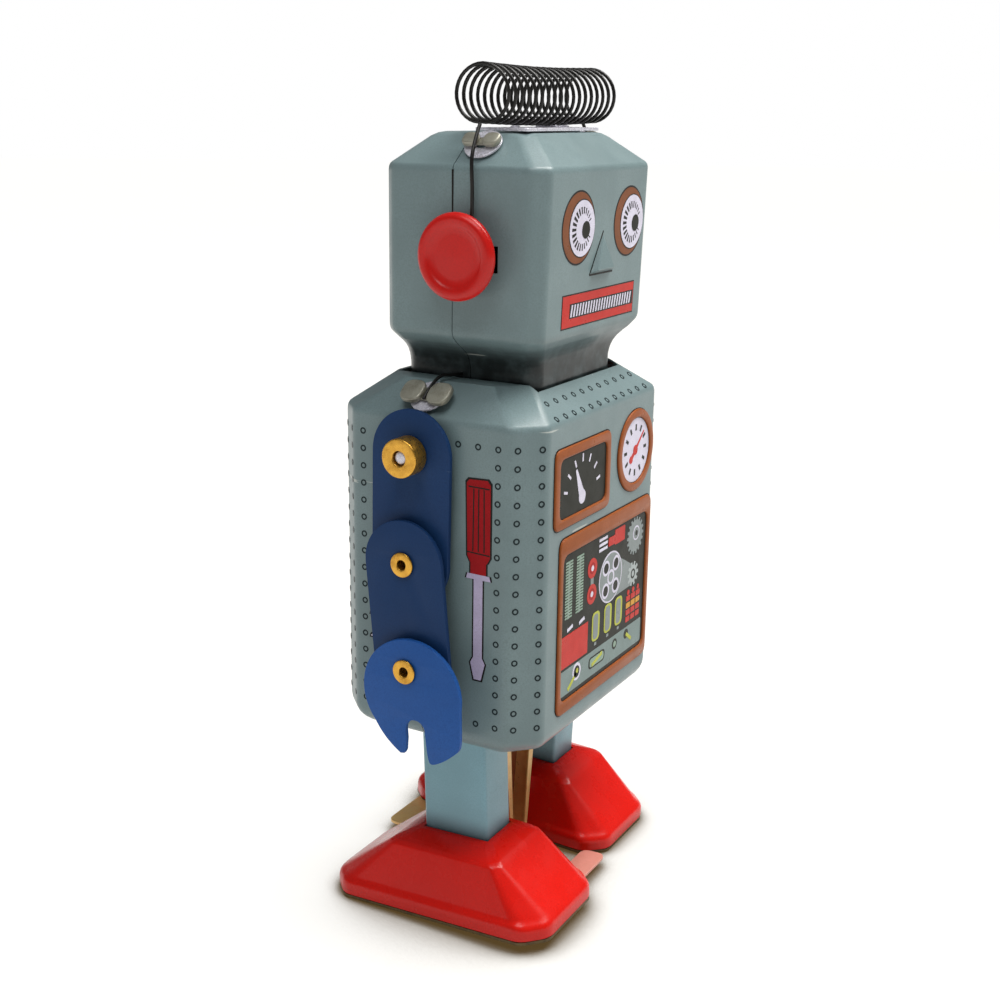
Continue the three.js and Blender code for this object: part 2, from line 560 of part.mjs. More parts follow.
for (const [side, s] of SIDES) {
  const leg = new THREE.Group();
  leg.position.set(0, HIP.y, HIP.z);
  leg.rotation.x = s * swing;
  const inside = new THREE.Group();
  inside.position.set(0, -HIP.y, -HIP.z);
  leg.add(inside);
  toy.add(leg);
  const span = (a, b) => [s * a, s * b].sort((p, q) => p - q);
  const { inner, outer, halfY, top, bottom } = LEG;
  const [x0, x1] = span(inner, outer);
  const strip = new THREE.Shape();
  const stripHalf = 7;
  strip.moveTo(-stripHalf, top - 2);
  strip.lineTo(stripHalf, top - 2);
  strip.lineTo(stripHalf, HIP.z);
  strip.absarc(HIP.y, HIP.z, stripHalf, 0, Math.PI, false);
  strip.holes.push(circle(HIP.y, HIP.z, HIP.axle + GAP));
  const windowHalf = 3.9;
  const slot = new THREE.Path();
  slot.moveTo(CRANK.y - windowHalf, CRANK.z - windowHalf);
  slot.lineTo(CRANK.y - windowHalf, CRANK.z + windowHalf);
  slot.lineTo(CRANK.y + windowHalf, CRANK.z + windowHalf);
  slot.lineTo(CRANK.y + windowHalf, CRANK.z - windowHalf);
  strip.holes.push(slot);
  const [h0] = span(inner, inner + TIN);
  const tube = cut(block(x0, x1, -halfY, halfY, bottom, top),
    block(x0 + TIN, x1 - TIN, -halfY + TIN, halfY - TIN, bottom - 1, top + 1));
  add(`leg_${side}`, join(tube, plateX(strip, h0, TIN, 6)), 'legGrey', inside);
  const shell = cut(loft(footLevels(s, 0)), loft(footLevels(s, TIN)),
    block(x0 - GAP, x1 + GAP, -halfY - GAP, halfY + GAP, bottom - 5, FOOT.top + 5));
  add(`foot_${side}`, shell, 'red', inside);
  const [f0, f1] = span(FOOT.inner + 0.2, FOOT.outer - 0.2);
  const points = outline(f0, f1, FOOT.toe + 0.2, FOOT.heel, FOOT.corner);
  const sole = loft([{ z: SOLE_Z, points }, { z: SOLE_Z + SOLE, points }]);
  add(`sole_${side}`, join(sole, soleTab(side, s)), 'steel', inside);
}

// ---- centre strut, which hangs between the legs ----
function strutLevels(shrink) {
  const ring = (z, width, y0, y1) => ({
    z, points: [[-width / 2, y0], [width / 2, y0], [width / 2, y1], [-width / 2, y1]],
  });
  const { top, bottom, topWidth, bottomWidth, front, back } = STRUT;
  const past = shrink > 0 ? 1 : 0;
  const slope = (topWidth - bottomWidth) / (top - bottom);
  const y0 = shrink > 0 ? front - 1 : front;
  return [
    ring(bottom - past, bottomWidth - slope * past - 2 * shrink, y0, back - shrink),
    ring(top + past, topWidth + slope * past - 2 * shrink, y0, back - shrink),
  ];
}
add('centre_strut', cut(loft(strutLevels(0)), loft(strutLevels(TIN))), 'gold');

// ---- motor frame: a back plate, and a front plate with forward cheeks ----
function plateOutline() {
  const { halfX, bottom, top } = MOTOR;
  const shape = new THREE.Shape();
  shape.moveTo(bottom, -halfX);
  shape.lineTo(top, -halfX);
  shape.lineTo(top, halfX);
  shape.lineTo(bottom, halfX);
  shape.holes.push(circle(ARBOR.z, 0, ARBOR.radius + GAP));
  shape.holes.push(circle(DRIVE.z, 0, DRIVE.radius + GAP));
  return shape;
}
const PILLAR = { radius: 1.3, x: 15.2, low: 66, high: 108 };
const CHEEK = { reach: 10, bottom: 67, top: 106 };
const cheeks = SIDES.map(([, s]) => {
  const [a, b] = [s * MOTOR.cheek, s * (MOTOR.cheek - TIN)].sort((p, q) => p - q);
  return block(a, b, MOTOR.front - CHEEK.reach, MOTOR.front + 0.4, CHEEK.bottom, CHEEK.top);
});
const cheekEnd = MOTOR.cheek + 2;
const cheekHoles = [
  rodX(HIP.axle + 0.1, -cheekEnd, cheekEnd, HIP.y, HIP.z, 12),
  rodX(CRANK.radius + GAP, -cheekEnd, cheekEnd, CRANK.y, CRANK.z, 12),
];
const frontPlate = plateY(plateOutline(), MOTOR.front, TIN);
add('motor_front_plate', cut(join(frontPlate, ...cheeks), ...cheekHoles), 'steel');
add('motor_back_plate', plateY(plateOutline(), MOTOR.back, TIN), 'steel');
for (const [side, s] of SIDES) {
  for (const level of ['low', 'high']) {
    const [y0, y1] = [MOTOR.front + TIN + GAP, MOTOR.back - GAP];
    const pillar = rodY(PILLAR.radius, y0, y1, s * PILLAR.x, PILLAR[level], 10);
    add(`motor_pillar_${level}_${side}`, pillar, 'steel');
  }
}

const hipEnd = LEG.inner + TIN + GAP;
const shaftRadius = HIP.axle - 0.1;
const { flange } = HIP;
add('hip_axle', turnedX([
  [0, -hipEnd - 1], [flange, -hipEnd - 1], [flange, -hipEnd], [shaftRadius, -hipEnd],
  [shaftRadius, hipEnd], [flange, hipEnd], [flange, hipEnd + 1], [0, hipEnd + 1],
], HIP.y, HIP.z, 14), 'steel');

// The mainspring, a flat ribbon wound round the arbor.
function spiralShape() {
  const { inner, outer, turns, thickness } = MAINSPRING;
  const shape = new THREE.Shape();
  const steps = turns * 12;
  const at = (i, offset) => {
    const t = i / steps;
    const a = t * turns * Math.PI * 2;
    const r = inner + (outer - inner) * t + offset;
    return [ARBOR.z + r * Math.cos(a), r * Math.sin(a)];
  };
  shape.moveTo(...at(0, 0));
  for (let i = 1; i <= steps; i += 1) shape.lineTo(...at(i, 0));
  for (let i = steps; i >= 0; i -= 1) shape.lineTo(...at(i, thickness));
  return shape;
}
add('mainspring', plateY(spiralShape(), MAINSPRING.y, MAINSPRING.width), 'spring');

// ---- winding arbor, ratchet and key ----
add('winding_arbor', rodY(ARBOR.radius, MOTOR.front - 1.2, KEY.y0, 0, ARBOR.z, 14), 'steel');
const { teeth: ratchetTeeth, module: ratchetModule, y: ratchetY, width: ratchetWidth } = RATCHET;
const ratchet = gear(ARBOR.z, 0, ratchetTeeth, ratchetModule, ARBOR.radius + GAP);
add('ratchet_wheel', plateY(ratchet, ratchetY, ratchetWidth), 'steel');

// The click: a pawl whose narrow tip drops between two ratchet teeth above the arbor.
const click = new THREE.Shape();
const pawlTip = ARBOR.z + CLICK.tip;
const pawlTop = ARBOR.z + CLICK.top;
click.moveTo(pawlTop - 3, -CLICK.tail);
click.lineTo(pawlTop, 1 - CLICK.tail);
click.lineTo(pawlTop, CLICK.heel);
click.lineTo(pawlTip, CLICK.tipWidth);
click.lineTo(pawlTip, 0.1);
add('click', plateY(click, ratchetY, ratchetWidth), 'steel');

function wingShape(s) {
  const shape = new THREE.Shape();
  const mid = ARBOR.z + s * (KEY.shaft + KEY.wing / 2 - 0.6);
  shape.absellipse((KEY.y1 + KEY.tip) / 2, mid, (KEY.tip - KEY.y1) / 2, KEY.wing / 2, 0, Math.PI * 2, false);
  const hole = new THREE.Path();
  hole.absellipse((KEY.y1 + KEY.tip) / 2, mid, 1.6, 2.8, 0, Math.PI * 2, true);
  shape.holes.push(hole);
  return shape;
}
const keyThickness = 1.4;
const keyShaft = turnedY([[0, KEY.y0 + GAP], [KEY.shaft, KEY.y0 + GAP], [KEY.shaft, KEY.tip - 2],
  [KEY.shaft - 0.7, KEY.tip - 1], [0, KEY.tip - 1]], 0, ARBOR.z, 16);
const wings = [-1, 1].map((s) => plateX(wingShape(s), -keyThickness / 2, keyThickness, 12));
add('winding_key', join(keyShaft, ...wings), 'steel');

// ---- wheels: great wheel, crown wheel on the drive arbor, crank ----
const greatWheel = gear(ARBOR.z, 0, SPUR.wheelTeeth, SPUR.module, ARBOR.radius + GAP);
add('great_wheel', plateY(greatWheel, GREAT_WHEEL.y, GREAT_WHEEL.width), 'brass');
const pinionOverhang = 0.7;
const drivePinion = plateY(gear(0, 0, SPUR.pinionTeeth, SPUR.module, 0, 0.5),
  GREAT_WHEEL.y - pinionOverhang, GREAT_WHEEL.width + 2 * pinionOverhang);
add('drive_arbor', join(rodY(DRIVE.radius, CROWN_GEAR.disc + 0.4, MOTOR.back + 1.6, 0, 0, 12), drivePinion)
  .translate(0, 0, DRIVE.z), 'steel');

// Contrate wheel: a disc with a ring of teeth standing towards the crank.
function crownTooth(i) {
  const { teeth, inner, outer, face, disc: back, half } = CROWN_GEAR;
  const tooth = block(inner, outer, face, back + 0.2, -half, half);
  return tooth.rotateY(i * Math.PI * 2 / teeth);
}
const crownDisc = plateY(disc(0, 0, CROWN_GEAR.outer), CROWN_GEAR.disc, 1);
const crownTeeth = Array.from({ length: CROWN_GEAR.teeth }, (_, i) => crownTooth(i));
add('crown_wheel', cut(join(crownDisc, ...crownTeeth), rodY(DRIVE.radius + 0.1, 0, 6, 0, 0, 12))
  .translate(0, 0, DRIVE.z), 'brass');

function crankPinionShape() {
  const shape = new THREE.Shape();
  const { teeth, root, tip } = CRANK_PINION;
  for (let i = 0; i < teeth; i += 1) {
    [[0.32, root], [0.42, tip], [0.58, tip], [0.68, root]].forEach(([part, r], k) => {
      const a = ((i + part) / teeth) * Math.PI * 2;
      if (i === 0 && k === 0) shape.moveTo(r * Math.cos(a), r * Math.sin(a));
      else shape.lineTo(r * Math.cos(a), r * Math.sin(a));
    });
  }
  return shape;
}
const webStart = MOTOR.cheek + GAP;
const crankPieces = SIDES.flatMap(([, s]) => {
  const [w0, w1] = [s * webStart, s * (webStart + 1)].sort((a, b) => a - b);
  const [p0, p1] = [s * (webStart + 0.8), s * (LEG.inner + TIN + 1.2)].sort((a, b) => a - b);
  return [rodX(CRANK.web, w0, w1, 0, 0, 16), rodX(CRANK.pin, p0, p1, s * CRANK.throw, 0, 10)];
});
const crankPinion = plateX(crankPinionShape(), CRANK_PINION.x0, CRANK_PINION.x1 - CRANK_PINION.x0);
const crankRod = rodX(CRANK.radius, -webStart - 0.5, webStart + 0.5, 0, 0, 12);
add('crank_shaft', join(crankRod, crankPinion, ...crankPieces).translate(0, CRANK.y, CRANK.z), 'steel');

toy.position.y = -OVERALL_MID_Y;
const robot = new THREE.Group();
robot.add(toy);

export default robot;
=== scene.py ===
"""Looks for a clockwork tin robot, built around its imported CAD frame.

Shapes are drawn in millimetres about the middle of the trunk: x to the robot's left,
y to its back, z up from the ground. Pieces are turned into metres as they are made.
"""
import json
import math

import bmesh
import bpy
from mathutils import Matrix, Vector


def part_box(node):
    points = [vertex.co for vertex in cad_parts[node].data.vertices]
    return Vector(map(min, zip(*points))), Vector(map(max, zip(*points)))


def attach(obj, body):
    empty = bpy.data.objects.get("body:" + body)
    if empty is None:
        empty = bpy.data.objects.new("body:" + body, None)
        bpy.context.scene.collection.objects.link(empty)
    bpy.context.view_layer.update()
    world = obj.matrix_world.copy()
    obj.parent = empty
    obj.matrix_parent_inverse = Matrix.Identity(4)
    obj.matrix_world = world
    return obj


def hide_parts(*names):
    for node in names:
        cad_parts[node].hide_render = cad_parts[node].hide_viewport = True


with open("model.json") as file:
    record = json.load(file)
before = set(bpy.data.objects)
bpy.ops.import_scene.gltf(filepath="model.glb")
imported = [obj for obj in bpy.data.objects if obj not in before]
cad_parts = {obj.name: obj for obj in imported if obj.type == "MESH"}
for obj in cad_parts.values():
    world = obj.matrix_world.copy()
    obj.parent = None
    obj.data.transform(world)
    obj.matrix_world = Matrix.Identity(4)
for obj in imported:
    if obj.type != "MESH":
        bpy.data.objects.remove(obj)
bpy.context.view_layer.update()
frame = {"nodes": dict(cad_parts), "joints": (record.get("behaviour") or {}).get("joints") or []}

MM = 0.001
SIDES = (("right", -1), ("left", 1))
X, Y, Z = (1, 0, 0), (0, 1, 0), (0, 0, 1)


# ---- places taken from the frame ----
def raw_box(*nodes):
    corners = [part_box(node) for node in nodes]
    low = [min(c[0][i] for c in corners) / MM for i in range(3)]
    high = [max(c[1][i] for c in corners) / MM for i in range(3)]
    return Vector(low), Vector(high)


NECK_MIDDLE_Y = -0.5
TRUNK_Y = (raw_box("leg_right")[0].y + raw_box("leg_left")[1].y) / 2  # the legs lean evenly


def box(*nodes):
    low, high = raw_box(*nodes)
    shift = Vector((0, TRUNK_Y, 0))
    return low - shift, high - shift


def middle(node):
    low, high = box(node)
    return (low + high) / 2


def seam_between(front, back):
    return (box(front)[1].y + box(back)[0].y) / 2


TIN = 0.5
SEAM = 0.1  # half the open line between two pressed halves
BODY_LOW, BODY_HIGH = box("body_front_shell", "body_back_shell")
BODY_SEAM_Y = seam_between("body_front_shell", "body_back_shell")
BODY_CORNER = 6.2
LIP_RISE, LIP_INSET = 5.0, 4.2
ROOF_RISE, ROOF_INSET = 7.0, 8.5
EAVES = BODY_HIGH.z - ROOF_RISE

HEAD_LOW, HEAD_HIGH = box("head_front_shell", "head_back_shell")
HEAD_SEAM_Y = seam_between("head_front_shell", "head_back_shell")
HEAD_CORNER = 3.2
JAW_Z, BROW_Z = 139.5, 177.3
JAW_BEND_Z = JAW_Z + 1.1
JAW_DRAFT = 1.2
NECK_HALF_X, NECK_HALF_Y, NECK_CORNER, NECK_TOP = 20.0, 17.5, 2.5, 132.0
CROWN_HALF_X, CROWN_FRONT, CROWN_BACK, CROWN_CORNER = 19.5, -14.6, 10.0, 2.6

HIP_Z = 100.0
HIP = next(joint for joint in frame["joints"] if joint["name"] == "right_hip")
SWING = math.radians((HIP["range_deg"][1] - HIP["range_deg"][0]) / 2)


# ---- mesh helpers ----
def soften(points, reach, steps=4, closed=True):
    """Rounds each corner of a line of points; reach is one length, or one for each point."""
    vectors = [Vector(p) for p in points]
    count = len(vectors)
    reaches = reach if isinstance(reach, (list, tuple)) else [reach] * count
    line = []
    for i, corner in enumerate(vectors):
        if not closed and i in (0, count - 1):
            line.append(corner)
            continue
        before, after = vectors[i - 1], vectors[(i + 1) % count]
        if reaches[i] <= 0:
            line.append(corner)
            continue
        back = min(reaches[i], (before - corner).length * 0.45)
        ahead = min(reaches[i], (after - corner).length * 0.45)
        start = corner + (before - corner).normalized() * back
        end = corner + (after - corner).normalized() * ahead
        for k in range(steps + 1):
            t = k / steps
            line.append(start * (1 - t) ** 2 + corner * 2 * t * (1 - t) + end * t ** 2)
    return line


def arc(cx, cy, radius, start, end, steps):
    """Points on an arc, angles in degrees."""
    angles = [math.radians(start + (end - start) * k / steps) for k in range(steps + 1)]
    return [(cx + radius * math.cos(a), cy + radius * math.sin(a)) for a in angles]


def ring_points(cx, cy, radius, steps=32):
    return arc(cx, cy, radius, 0, 360, steps)[:-1]


def rectangle(x0, x1, y0, y1, radius=0.0, steps=5):
    corners = [(x0, y0), (x1, y0), (x1, y1), (x0, y1)]
    return [tuple(p) for p in soften(corners, radius, steps)] if radius else corners


def chamfered(x0, x1, y0, y1, corner, bend=1.1):
    """A rectangle whose corners are flats between two soft bends."""
    c = corner
    points = [(x0 + c, y0), (x1 - c, y0), (x1, y0 + c), (x1, y1 - c),
              (x1 - c, y1), (x0 + c, y1), (x0, y1 - c), (x0, y0 + c)]
    return soften(points, min(bend, c * 0.45), 4)


class Build:
    """Gathers closed shapes, in millimetres, each with the number of its material."""

    def __init__(self):
        self.points = []
        self.faces = []
        self.materials = []

    def add(self, points, faces, material=0):
        start = len(self.points)
        self.points += [Vector(p) for p in points]
        self.faces += [[start + i for i in face] for face in faces]
        self.materials += [material] * len(faces)
        return self

    def moved(self, matrix):
        self.points = [matrix @ p for p in self.points]
        return self


def loft(build, levels, material=0, cap_low=True, cap_high=True):
    """Joins outlines with the same number of points, from low to high."""
    count = len(levels[0])
    points = [p for level in levels for p in level]
    faces = []
    for k in range(len(levels) - 1):
        for i in range(count):
            j = (i + 1) % count
            low, high = k * count, (k + 1) * count
            faces.append([low + i, low + j, high + j, high + i])
    if cap_low:
        faces.append(list(range(count))[::-1])
    if cap_high:
        faces.append([(len(levels) - 1) * count + i for i in range(count)])
    return build.add(points, faces, material)


def slab(build, outline, low, high, place=None, material=0):
    """A flat prism on an outline drawn in (u, v), between two heights along w."""
    levels = [[Vector((u, v, w)) for u, v in outline] for w in (low, high)]
    if place is not None:
        levels = [[place @ p for p in level] for level in levels]
    return loft(build, levels, material)


def lathe(build, profile, place, segments=48, material=0, closed=False):
    """Turns a profile of (radius, distance along the axis) about the local z axis."""
    rings = []
    for radius, height in profile:
        rings.append([place @ Vector((radius * math.cos(2 * math.pi * k / segments),
                                      radius * math.sin(2 * math.pi * k / segments), height))
                      for k in range(segments)])
    if closed:
        rings.append(rings[0])
        return loft(build, rings, material, False, False)
    return loft(build, rings, material)


def tube(build, path, radius, sides=8, material=0):
    """A round wire along a path, with both ends closed."""
    path = [Vector(p) for p in path]
    normal = None
    levels = []
    for i, point in enumerate(path):
        along = (path[min(i + 1, len(path) - 1)] - path[max(i - 1, 0)]).normalized()
        if normal is None:
            normal = along.orthogonal().normalized()
        normal = (normal - along * normal.dot(along)).normalized()
        across = along.cross(normal)
        levels.append([point + (normal * math.cos(2 * math.pi * k / sides)
                                + across * math.sin(2 * math.pi * k / sides)) * radius
                       for k in range(sides)])
    return loft(build, levels, material)


def spline(points, per_span=8):
    """A smooth line through given points."""
    p = [Vector(q) for q in points]
    p = [p[0] * 2 - p[1]] + p + [p[-1] * 2 - p[-2]]
    line = []
    for i in range(1, len(p) - 2):
        for k in range(per_span):
            t = k / per_span
            line.append(0.5 * (2 * p[i] + (p[i + 1] - p[i - 1]) * t
                               + (2 * p[i - 1] - 5 * p[i] + 4 * p[i + 1] - p[i + 2]) * t * t
                               + (3 * p[i] - p[i - 1] - 3 * p[i + 1] + p[i + 2]) * t ** 3))
    line.append(p[-2])
    return line


def plate(build, outlines, low, high, place, bevel=0.12, material=0):
    """A flat plate with holes and softened edges; the first outline is the outer one."""
    curve = bpy.data.curves.new("outline", "CURVE")
    curve.dimensions = "2D"
    curve.fill_mode = "BOTH"
    curve.extrude = (high - low) / 2 - bevel
    curve.bevel_depth = bevel
    curve.bevel_resolution = 2
    curve.offset = -bevel
    for outline in outlines:
        line = curve.splines.new("POLY")
        line.points.add(len(outline) - 1)
        for point, (u, v) in zip(line.points, outline):
            point.co = (u, v, 0, 1)
        line.use_cyclic_u = True
    holder = bpy.data.objects.new("outline", curve)
    bpy.context.scene.collection.objects.link(holder)
    bpy.context.view_layer.update()
    graph = bpy.context.evaluated_depsgraph_get()
    mesh = bpy.data.meshes.new_from_object(holder.evaluated_get(graph))
    bm = bmesh.new()
    bm.from_mesh(mesh)
    bmesh.ops.remove_doubles(bm, verts=bm.verts, dist=1e-4)
    bmesh.ops.recalc_face_normals(bm, faces=bm.faces)
    rise = Vector((0, 0, (low + high) / 2))
    points = [place @ (v.co + rise) for v in bm.verts]
    bm.verts.index_update()
    faces = [[v.index for v in f.verts] for f in bm.faces]
    bm.free()
    bpy.data.objects.remove(holder)
    bpy.data.curves.remove(curve)
    bpy.data.meshes.remove(mesh)
    return build.add(points, faces, material)


def as_object(name, build, materials, crease=32):
    mesh = bpy.data.meshes.new(name)
    shift = Vector((0, TRUNK_Y, 0))
    mesh.from_pydata([(p + shift) * MM for p in build.points], [], build.faces)
    for material in materials:
        mesh.materials.append(material)
    for face, number in zip(mesh.polygons, build.materials):
        face.material_index = number
    bm = bmesh.new()
    bm.from_mesh(mesh)
    bmesh.ops.recalc_face_normals(bm, faces=bm.faces)
    bm.to_mesh(mesh)
    bm.free()
    smooth(mesh, crease)
    obj = bpy.data.objects.new(name, mesh)
    bpy.context.scene.collection.objects.link(obj)
    return obj


def smooth(mesh, crease):
    mesh.shade_smooth()
    mesh.set_sharp_from_angle(angle=math.radians(crease))


def bake(obj):
    """Applies the object's modifiers to its mesh."""
    graph = bpy.context.evaluated_depsgraph_get()
    graph.update()
    mesh = bpy.data.meshes.new_from_object(obj.evaluated_get(graph))
    old = obj.data
    obj.modifiers.clear()
    obj.data = mesh
    bpy.data.meshes.remove(old)
    return obj


def settle(obj, crease=32):
    """Applies the modifiers and keeps large faces flat beside their rounded bends."""
    bake(obj)
    obj.data.name = obj.name
    weighted = obj.modifiers.new("normals", "WEIGHTED_NORMAL")
    weighted.keep_sharp = True
    smooth(obj.data, crease)
    return obj


def carve(obj, tool, operation="DIFFERENCE"):
    """Cuts a tool out of an object, or keeps what lies in both; the tool is used up."""
    modifier = obj.modifiers.new("cut", "BOOLEAN")
    modifier.operation = operation
    modifier.solver = "EXACT"
    modifier.object = tool
    bake(obj)
    mesh = tool.data
    bpy.data.objects.remove(tool)
    bpy.data.meshes.remove(mesh)


def block_tool(x0, x1, y0, y1, z0, z1):
    return as_object("cutter", slab(Build(), rectangle(x0, x1, y0, y1), z0, z1), [])


def drill_tool(radius, depth, place, segments):
    return as_object("cutter", lathe(Build(), [(radius, 0), (radius, depth)], place, segments), [])


def place_piece(obj, body, slot, *nodes):
    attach(obj, body)
    if nodes:
        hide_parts(*nodes)
    return obj


def piece(name, build, materials, crease, *place):
    """Makes an object, attaches it to its body and hides the CAD nodes it stands for; the slot is
    not used.
    """
    return place_piece(as_object(name, build, materials, crease), *place)


def basis(origin, u, v, w):
    """The matrix that puts local u, v, w axes at an origin."""
    columns = Matrix((Vector(u), Vector(v), Vector(w))).transposed()
    return Matrix.Translation(Vector(origin)) @ columns.to_4x4()


def axle_place(at, s=1, x=0.0):
    """Local w runs along x, through a point's y and z."""
    return basis((x, at.y, at.z), Y, (0, 0, s), (s, 0, 0))


def panel_place(s, x):
    """Local (u, v, w) is (y, z, outwards) on a wall at x on one side."""
    return basis((x * s, 0, 0), Y, Z, (s, 0, 0))


FLAT = Matrix.Identity(4)  # local (u, v, w) is (x, y, z)
UPRIGHT = panel_place(1, 0)  # local (u, v, w) is (y, z, x)


# ---- materials ----
class Nodes:
    """A small writer for one material's node tree."""

    def __init__(self, name):
        self.material = bpy.data.materials.new(name)
        self.material.use_nodes = True
        self.tree = self.material.node_tree
        self.shader = self.tree.nodes["Principled BSDF"]
        self.coords = self.node("TexCoord").outputs["Object"]

    def give(self, socket, value):
        """Links another node's output to a socket, or sets the socket's plain value."""
        if isinstance(value, bpy.types.NodeSocket):
            self.tree.links.new(value, socket)
        else:
            socket.default_value = value

    def node(self, kind, settings=(), **inputs):
        node = self.tree.nodes.new("ShaderNode" + kind)
        for key, value in settings:
            setattr(node, key, value)
        for key, value in inputs.items():
            self.give(node.inputs[key.replace("_", " ")], value)
        return node

    def set(self, **values):
        for key, value in values.items():
            self.give(self.shader.inputs[key.replace("_", " ")], value)

    def noise(self, scale, detail=3.0, rough=0.55, stretch=None, seed=0.0):
        source = self.coords
        if stretch is not None:
            source = self.node("Mapping", Vector=source, Scale=stretch).outputs["Vector"]
        return self.node("TexNoise", [("noise_dimensions", "4D")], Vector=source, Scale=scale,
                         Detail=detail, Roughness=rough, W=seed).outputs["Fac"]

    def spread(self, source, low, high, to_low=0.0, to_high=1.0):
        return self.node("MapRange", [("interpolation_type", "SMOOTHSTEP")], Value=source,
                         From_Min=low, From_Max=high, To_Min=to_low, To_Max=to_high
                         ).outputs["Result"]

    def math(self, operation, a, b):
        node = self.node("Math", [("operation", operation)])
        self.give(node.inputs[0], a)
        self.give(node.inputs[1], b)
        return node.outputs["Value"]

    def mix(self, factor, a, b):
        node = self.node("Mix", [("data_type", "RGBA")], Factor=factor)
        for key, value in (("A", a), ("B", b)):
            self.give([s for s in node.inputs if s.name == key and s.type == "RGBA"][0], value)
        return [s for s in node.outputs if s.type == "RGBA"][0]

    def edges(self, radius):
        """1 along bends and edges, 0 on flats."""
        soft = self.node("Bevel", [("samples", 4)], Radius=radius)
        dot = self.node("VectorMath", [("operation", "DOT_PRODUCT")])
        self.give(dot.inputs[0], soft.outputs["Normal"])
        self.give(dot.inputs[1], self.node("NewGeometry").outputs["Normal"])
        return self.spread(dot.outputs["Value"], 0.95, 0.997, 1.0, 0.0)

    def height(self):
        return self.node("SeparateXYZ", Vector=self.coords).outputs["Z"]

    def bump(self, source, strength, distance):
        node = self.node("Bump", Strength=strength, Distance=distance, Height=source)
        self.set(Normal=node.outputs["Normal"])


def rgb(red, green, blue):
    """Screen values 0 to 255 as a linear colour."""
    def linear(value):
        c = value / 255
        return c / 12.92 if c <= 0.04045 else ((c + 0.055) / 1.055) ** 2.4
    return (linear(red), linear(green), linear(blue), 1.0)


def shade(colour, factor):
    return tuple(min(1.0, c * factor) for c in colour[:3]) + (1.0,)


def paint(name, colour, rough=0.36, coat=0.1, mottle=0.08, grain=0.04, chips=0.66,
          chip_colour=rgb(206, 208, 200), shade_and_grime=None, gloss=0.32):
    """Printed or sprayed enamel on tin: mottled colour, fine grain, chipped edges, faint scratches.

    The height band is (height that is fully dark, height that is clean, how dark it gets): painted
    shade where a part sinks into a recess or under an overhang, with some dirt.
    """
    n = Nodes(name)
    n.set(Metallic=0.0, Coat_Weight=coat, Coat_Roughness=0.12, IOR=1.48,
          Specular_IOR_Level=gloss)
    cloud = n.spread(n.noise(70, 4), 0.3, 0.7)
    tone = n.mix(cloud, shade(colour, 1 - mottle), shade(colour, 1 + mottle))
    speck = n.spread(n.noise(2600, 2, seed=3), 0.35, 0.75)
    tone = n.mix(speck, tone, shade(colour, 1 - grain * 3))
    if shade_and_grime is not None:
        # painted shade, with some dirt: darker below a height, broken up by noise
        shade_and_dirt = n.math("MULTIPLY", n.spread(n.height(), shade_and_grime[0] * MM, shade_and_grime[1] * MM, 1.0, 0.0),
                      n.spread(n.noise(220, 4, seed=9), 0.25, 0.6, 0.75, 1.0))
        tone = n.mix(shade_and_dirt, tone, shade(colour, shade_and_grime[2]))
    flakes = n.spread(n.noise(900, 5, 0.7, seed=5), chips, chips + 0.05)
    chip = n.math("MULTIPLY", n.edges(0.0007), flakes)
    scratch = n.spread(n.noise(420, 2, 0.4, stretch=(0.1, 0.1, 1.5), seed=7), 0.735, 0.75)
    worn = n.math("MAXIMUM", chip, n.math("MULTIPLY", scratch, 0.5))
    n.set(Base_Color=n.mix(worn, tone, chip_colour),
          Roughness=n.spread(n.noise(160, 4, seed=2), 0.2, 0.8, rough - 0.06, rough + 0.09))
    n.bump(n.noise(1100, 3, seed=1), 0.10, 0.00008)
    return n.material


def metal(name, colour, rough, tarnish, metallic=1.0):
    """Bare or plated metal: uneven roughness, patches of tarnish and fine marks."""
    n = Nodes(name)
    n.set(Metallic=metallic, IOR=1.5)
    patch = n.spread(n.noise(350, 5, 0.65), 0.35, 0.75)
    tone = n.mix(patch, colour, tarnish)
    fine = n.spread(n.noise(3000, 2, seed=4), 0.3, 0.8)
    marks = n.noise(900, 3, 0.6, seed=6)
    n.set(Base_Color=n.mix(fine, tone, shade(colour, 0.86)),
          Roughness=n.spread(marks, 0.25, 0.8, rough - 0.08, rough + 0.14))
    n.bump(marks, 0.16, 0.00006)
    return n.material


def ink(name, colour, rough=0.3):
    """Printing ink: flat colour with a faint mottle and a fine dot grain."""
    n = Nodes(name)
    n.set(Specular_IOR_Level=0.1)
    cloud = n.spread(n.noise(260, 3), 0.3, 0.7)
    tone = n.mix(cloud, shade(colour, 0.92), shade(colour, 1.06))
    grain = n.spread(n.noise(3600, 1, seed=8), 0.45, 0.7)
    n.set(Base_Color=n.mix(grain, tone, shade(colour, 0.86)),
          Roughness=n.spread(n.noise(300, 3, seed=2), 0.2, 0.8, rough - 0.05, rough + 0.1))
    n.bump(n.noise(1500, 2, seed=1), 0.06, 0.00005)
    return n.material


GREY = rgb(112, 130, 132)
BODY_PAINT = paint("body_enamel", GREY)
# the neck below the jaw is painted dark: painted shade under the jaw, with some dirt
HEAD_PAINT = paint("head_enamel", GREY, shade_and_grime=(134, 142, 0.07))
# The two tongues are one bare tin coloured apart: the right one rose as a painted reflection of the
# red foot, the left one lightened as painted light against the body's shadow.
TAB_TINS_PAINTED_LIGHT = {
    "right": metal("rose_tab_painted_reflection", rgb(212, 140, 126), 0.36, rgb(200, 130, 112), metallic=0.1),
    "left": metal("straw_tab_painted_light", rgb(255, 214, 140), 0.36, rgb(250, 190, 120), metallic=0.1),
}
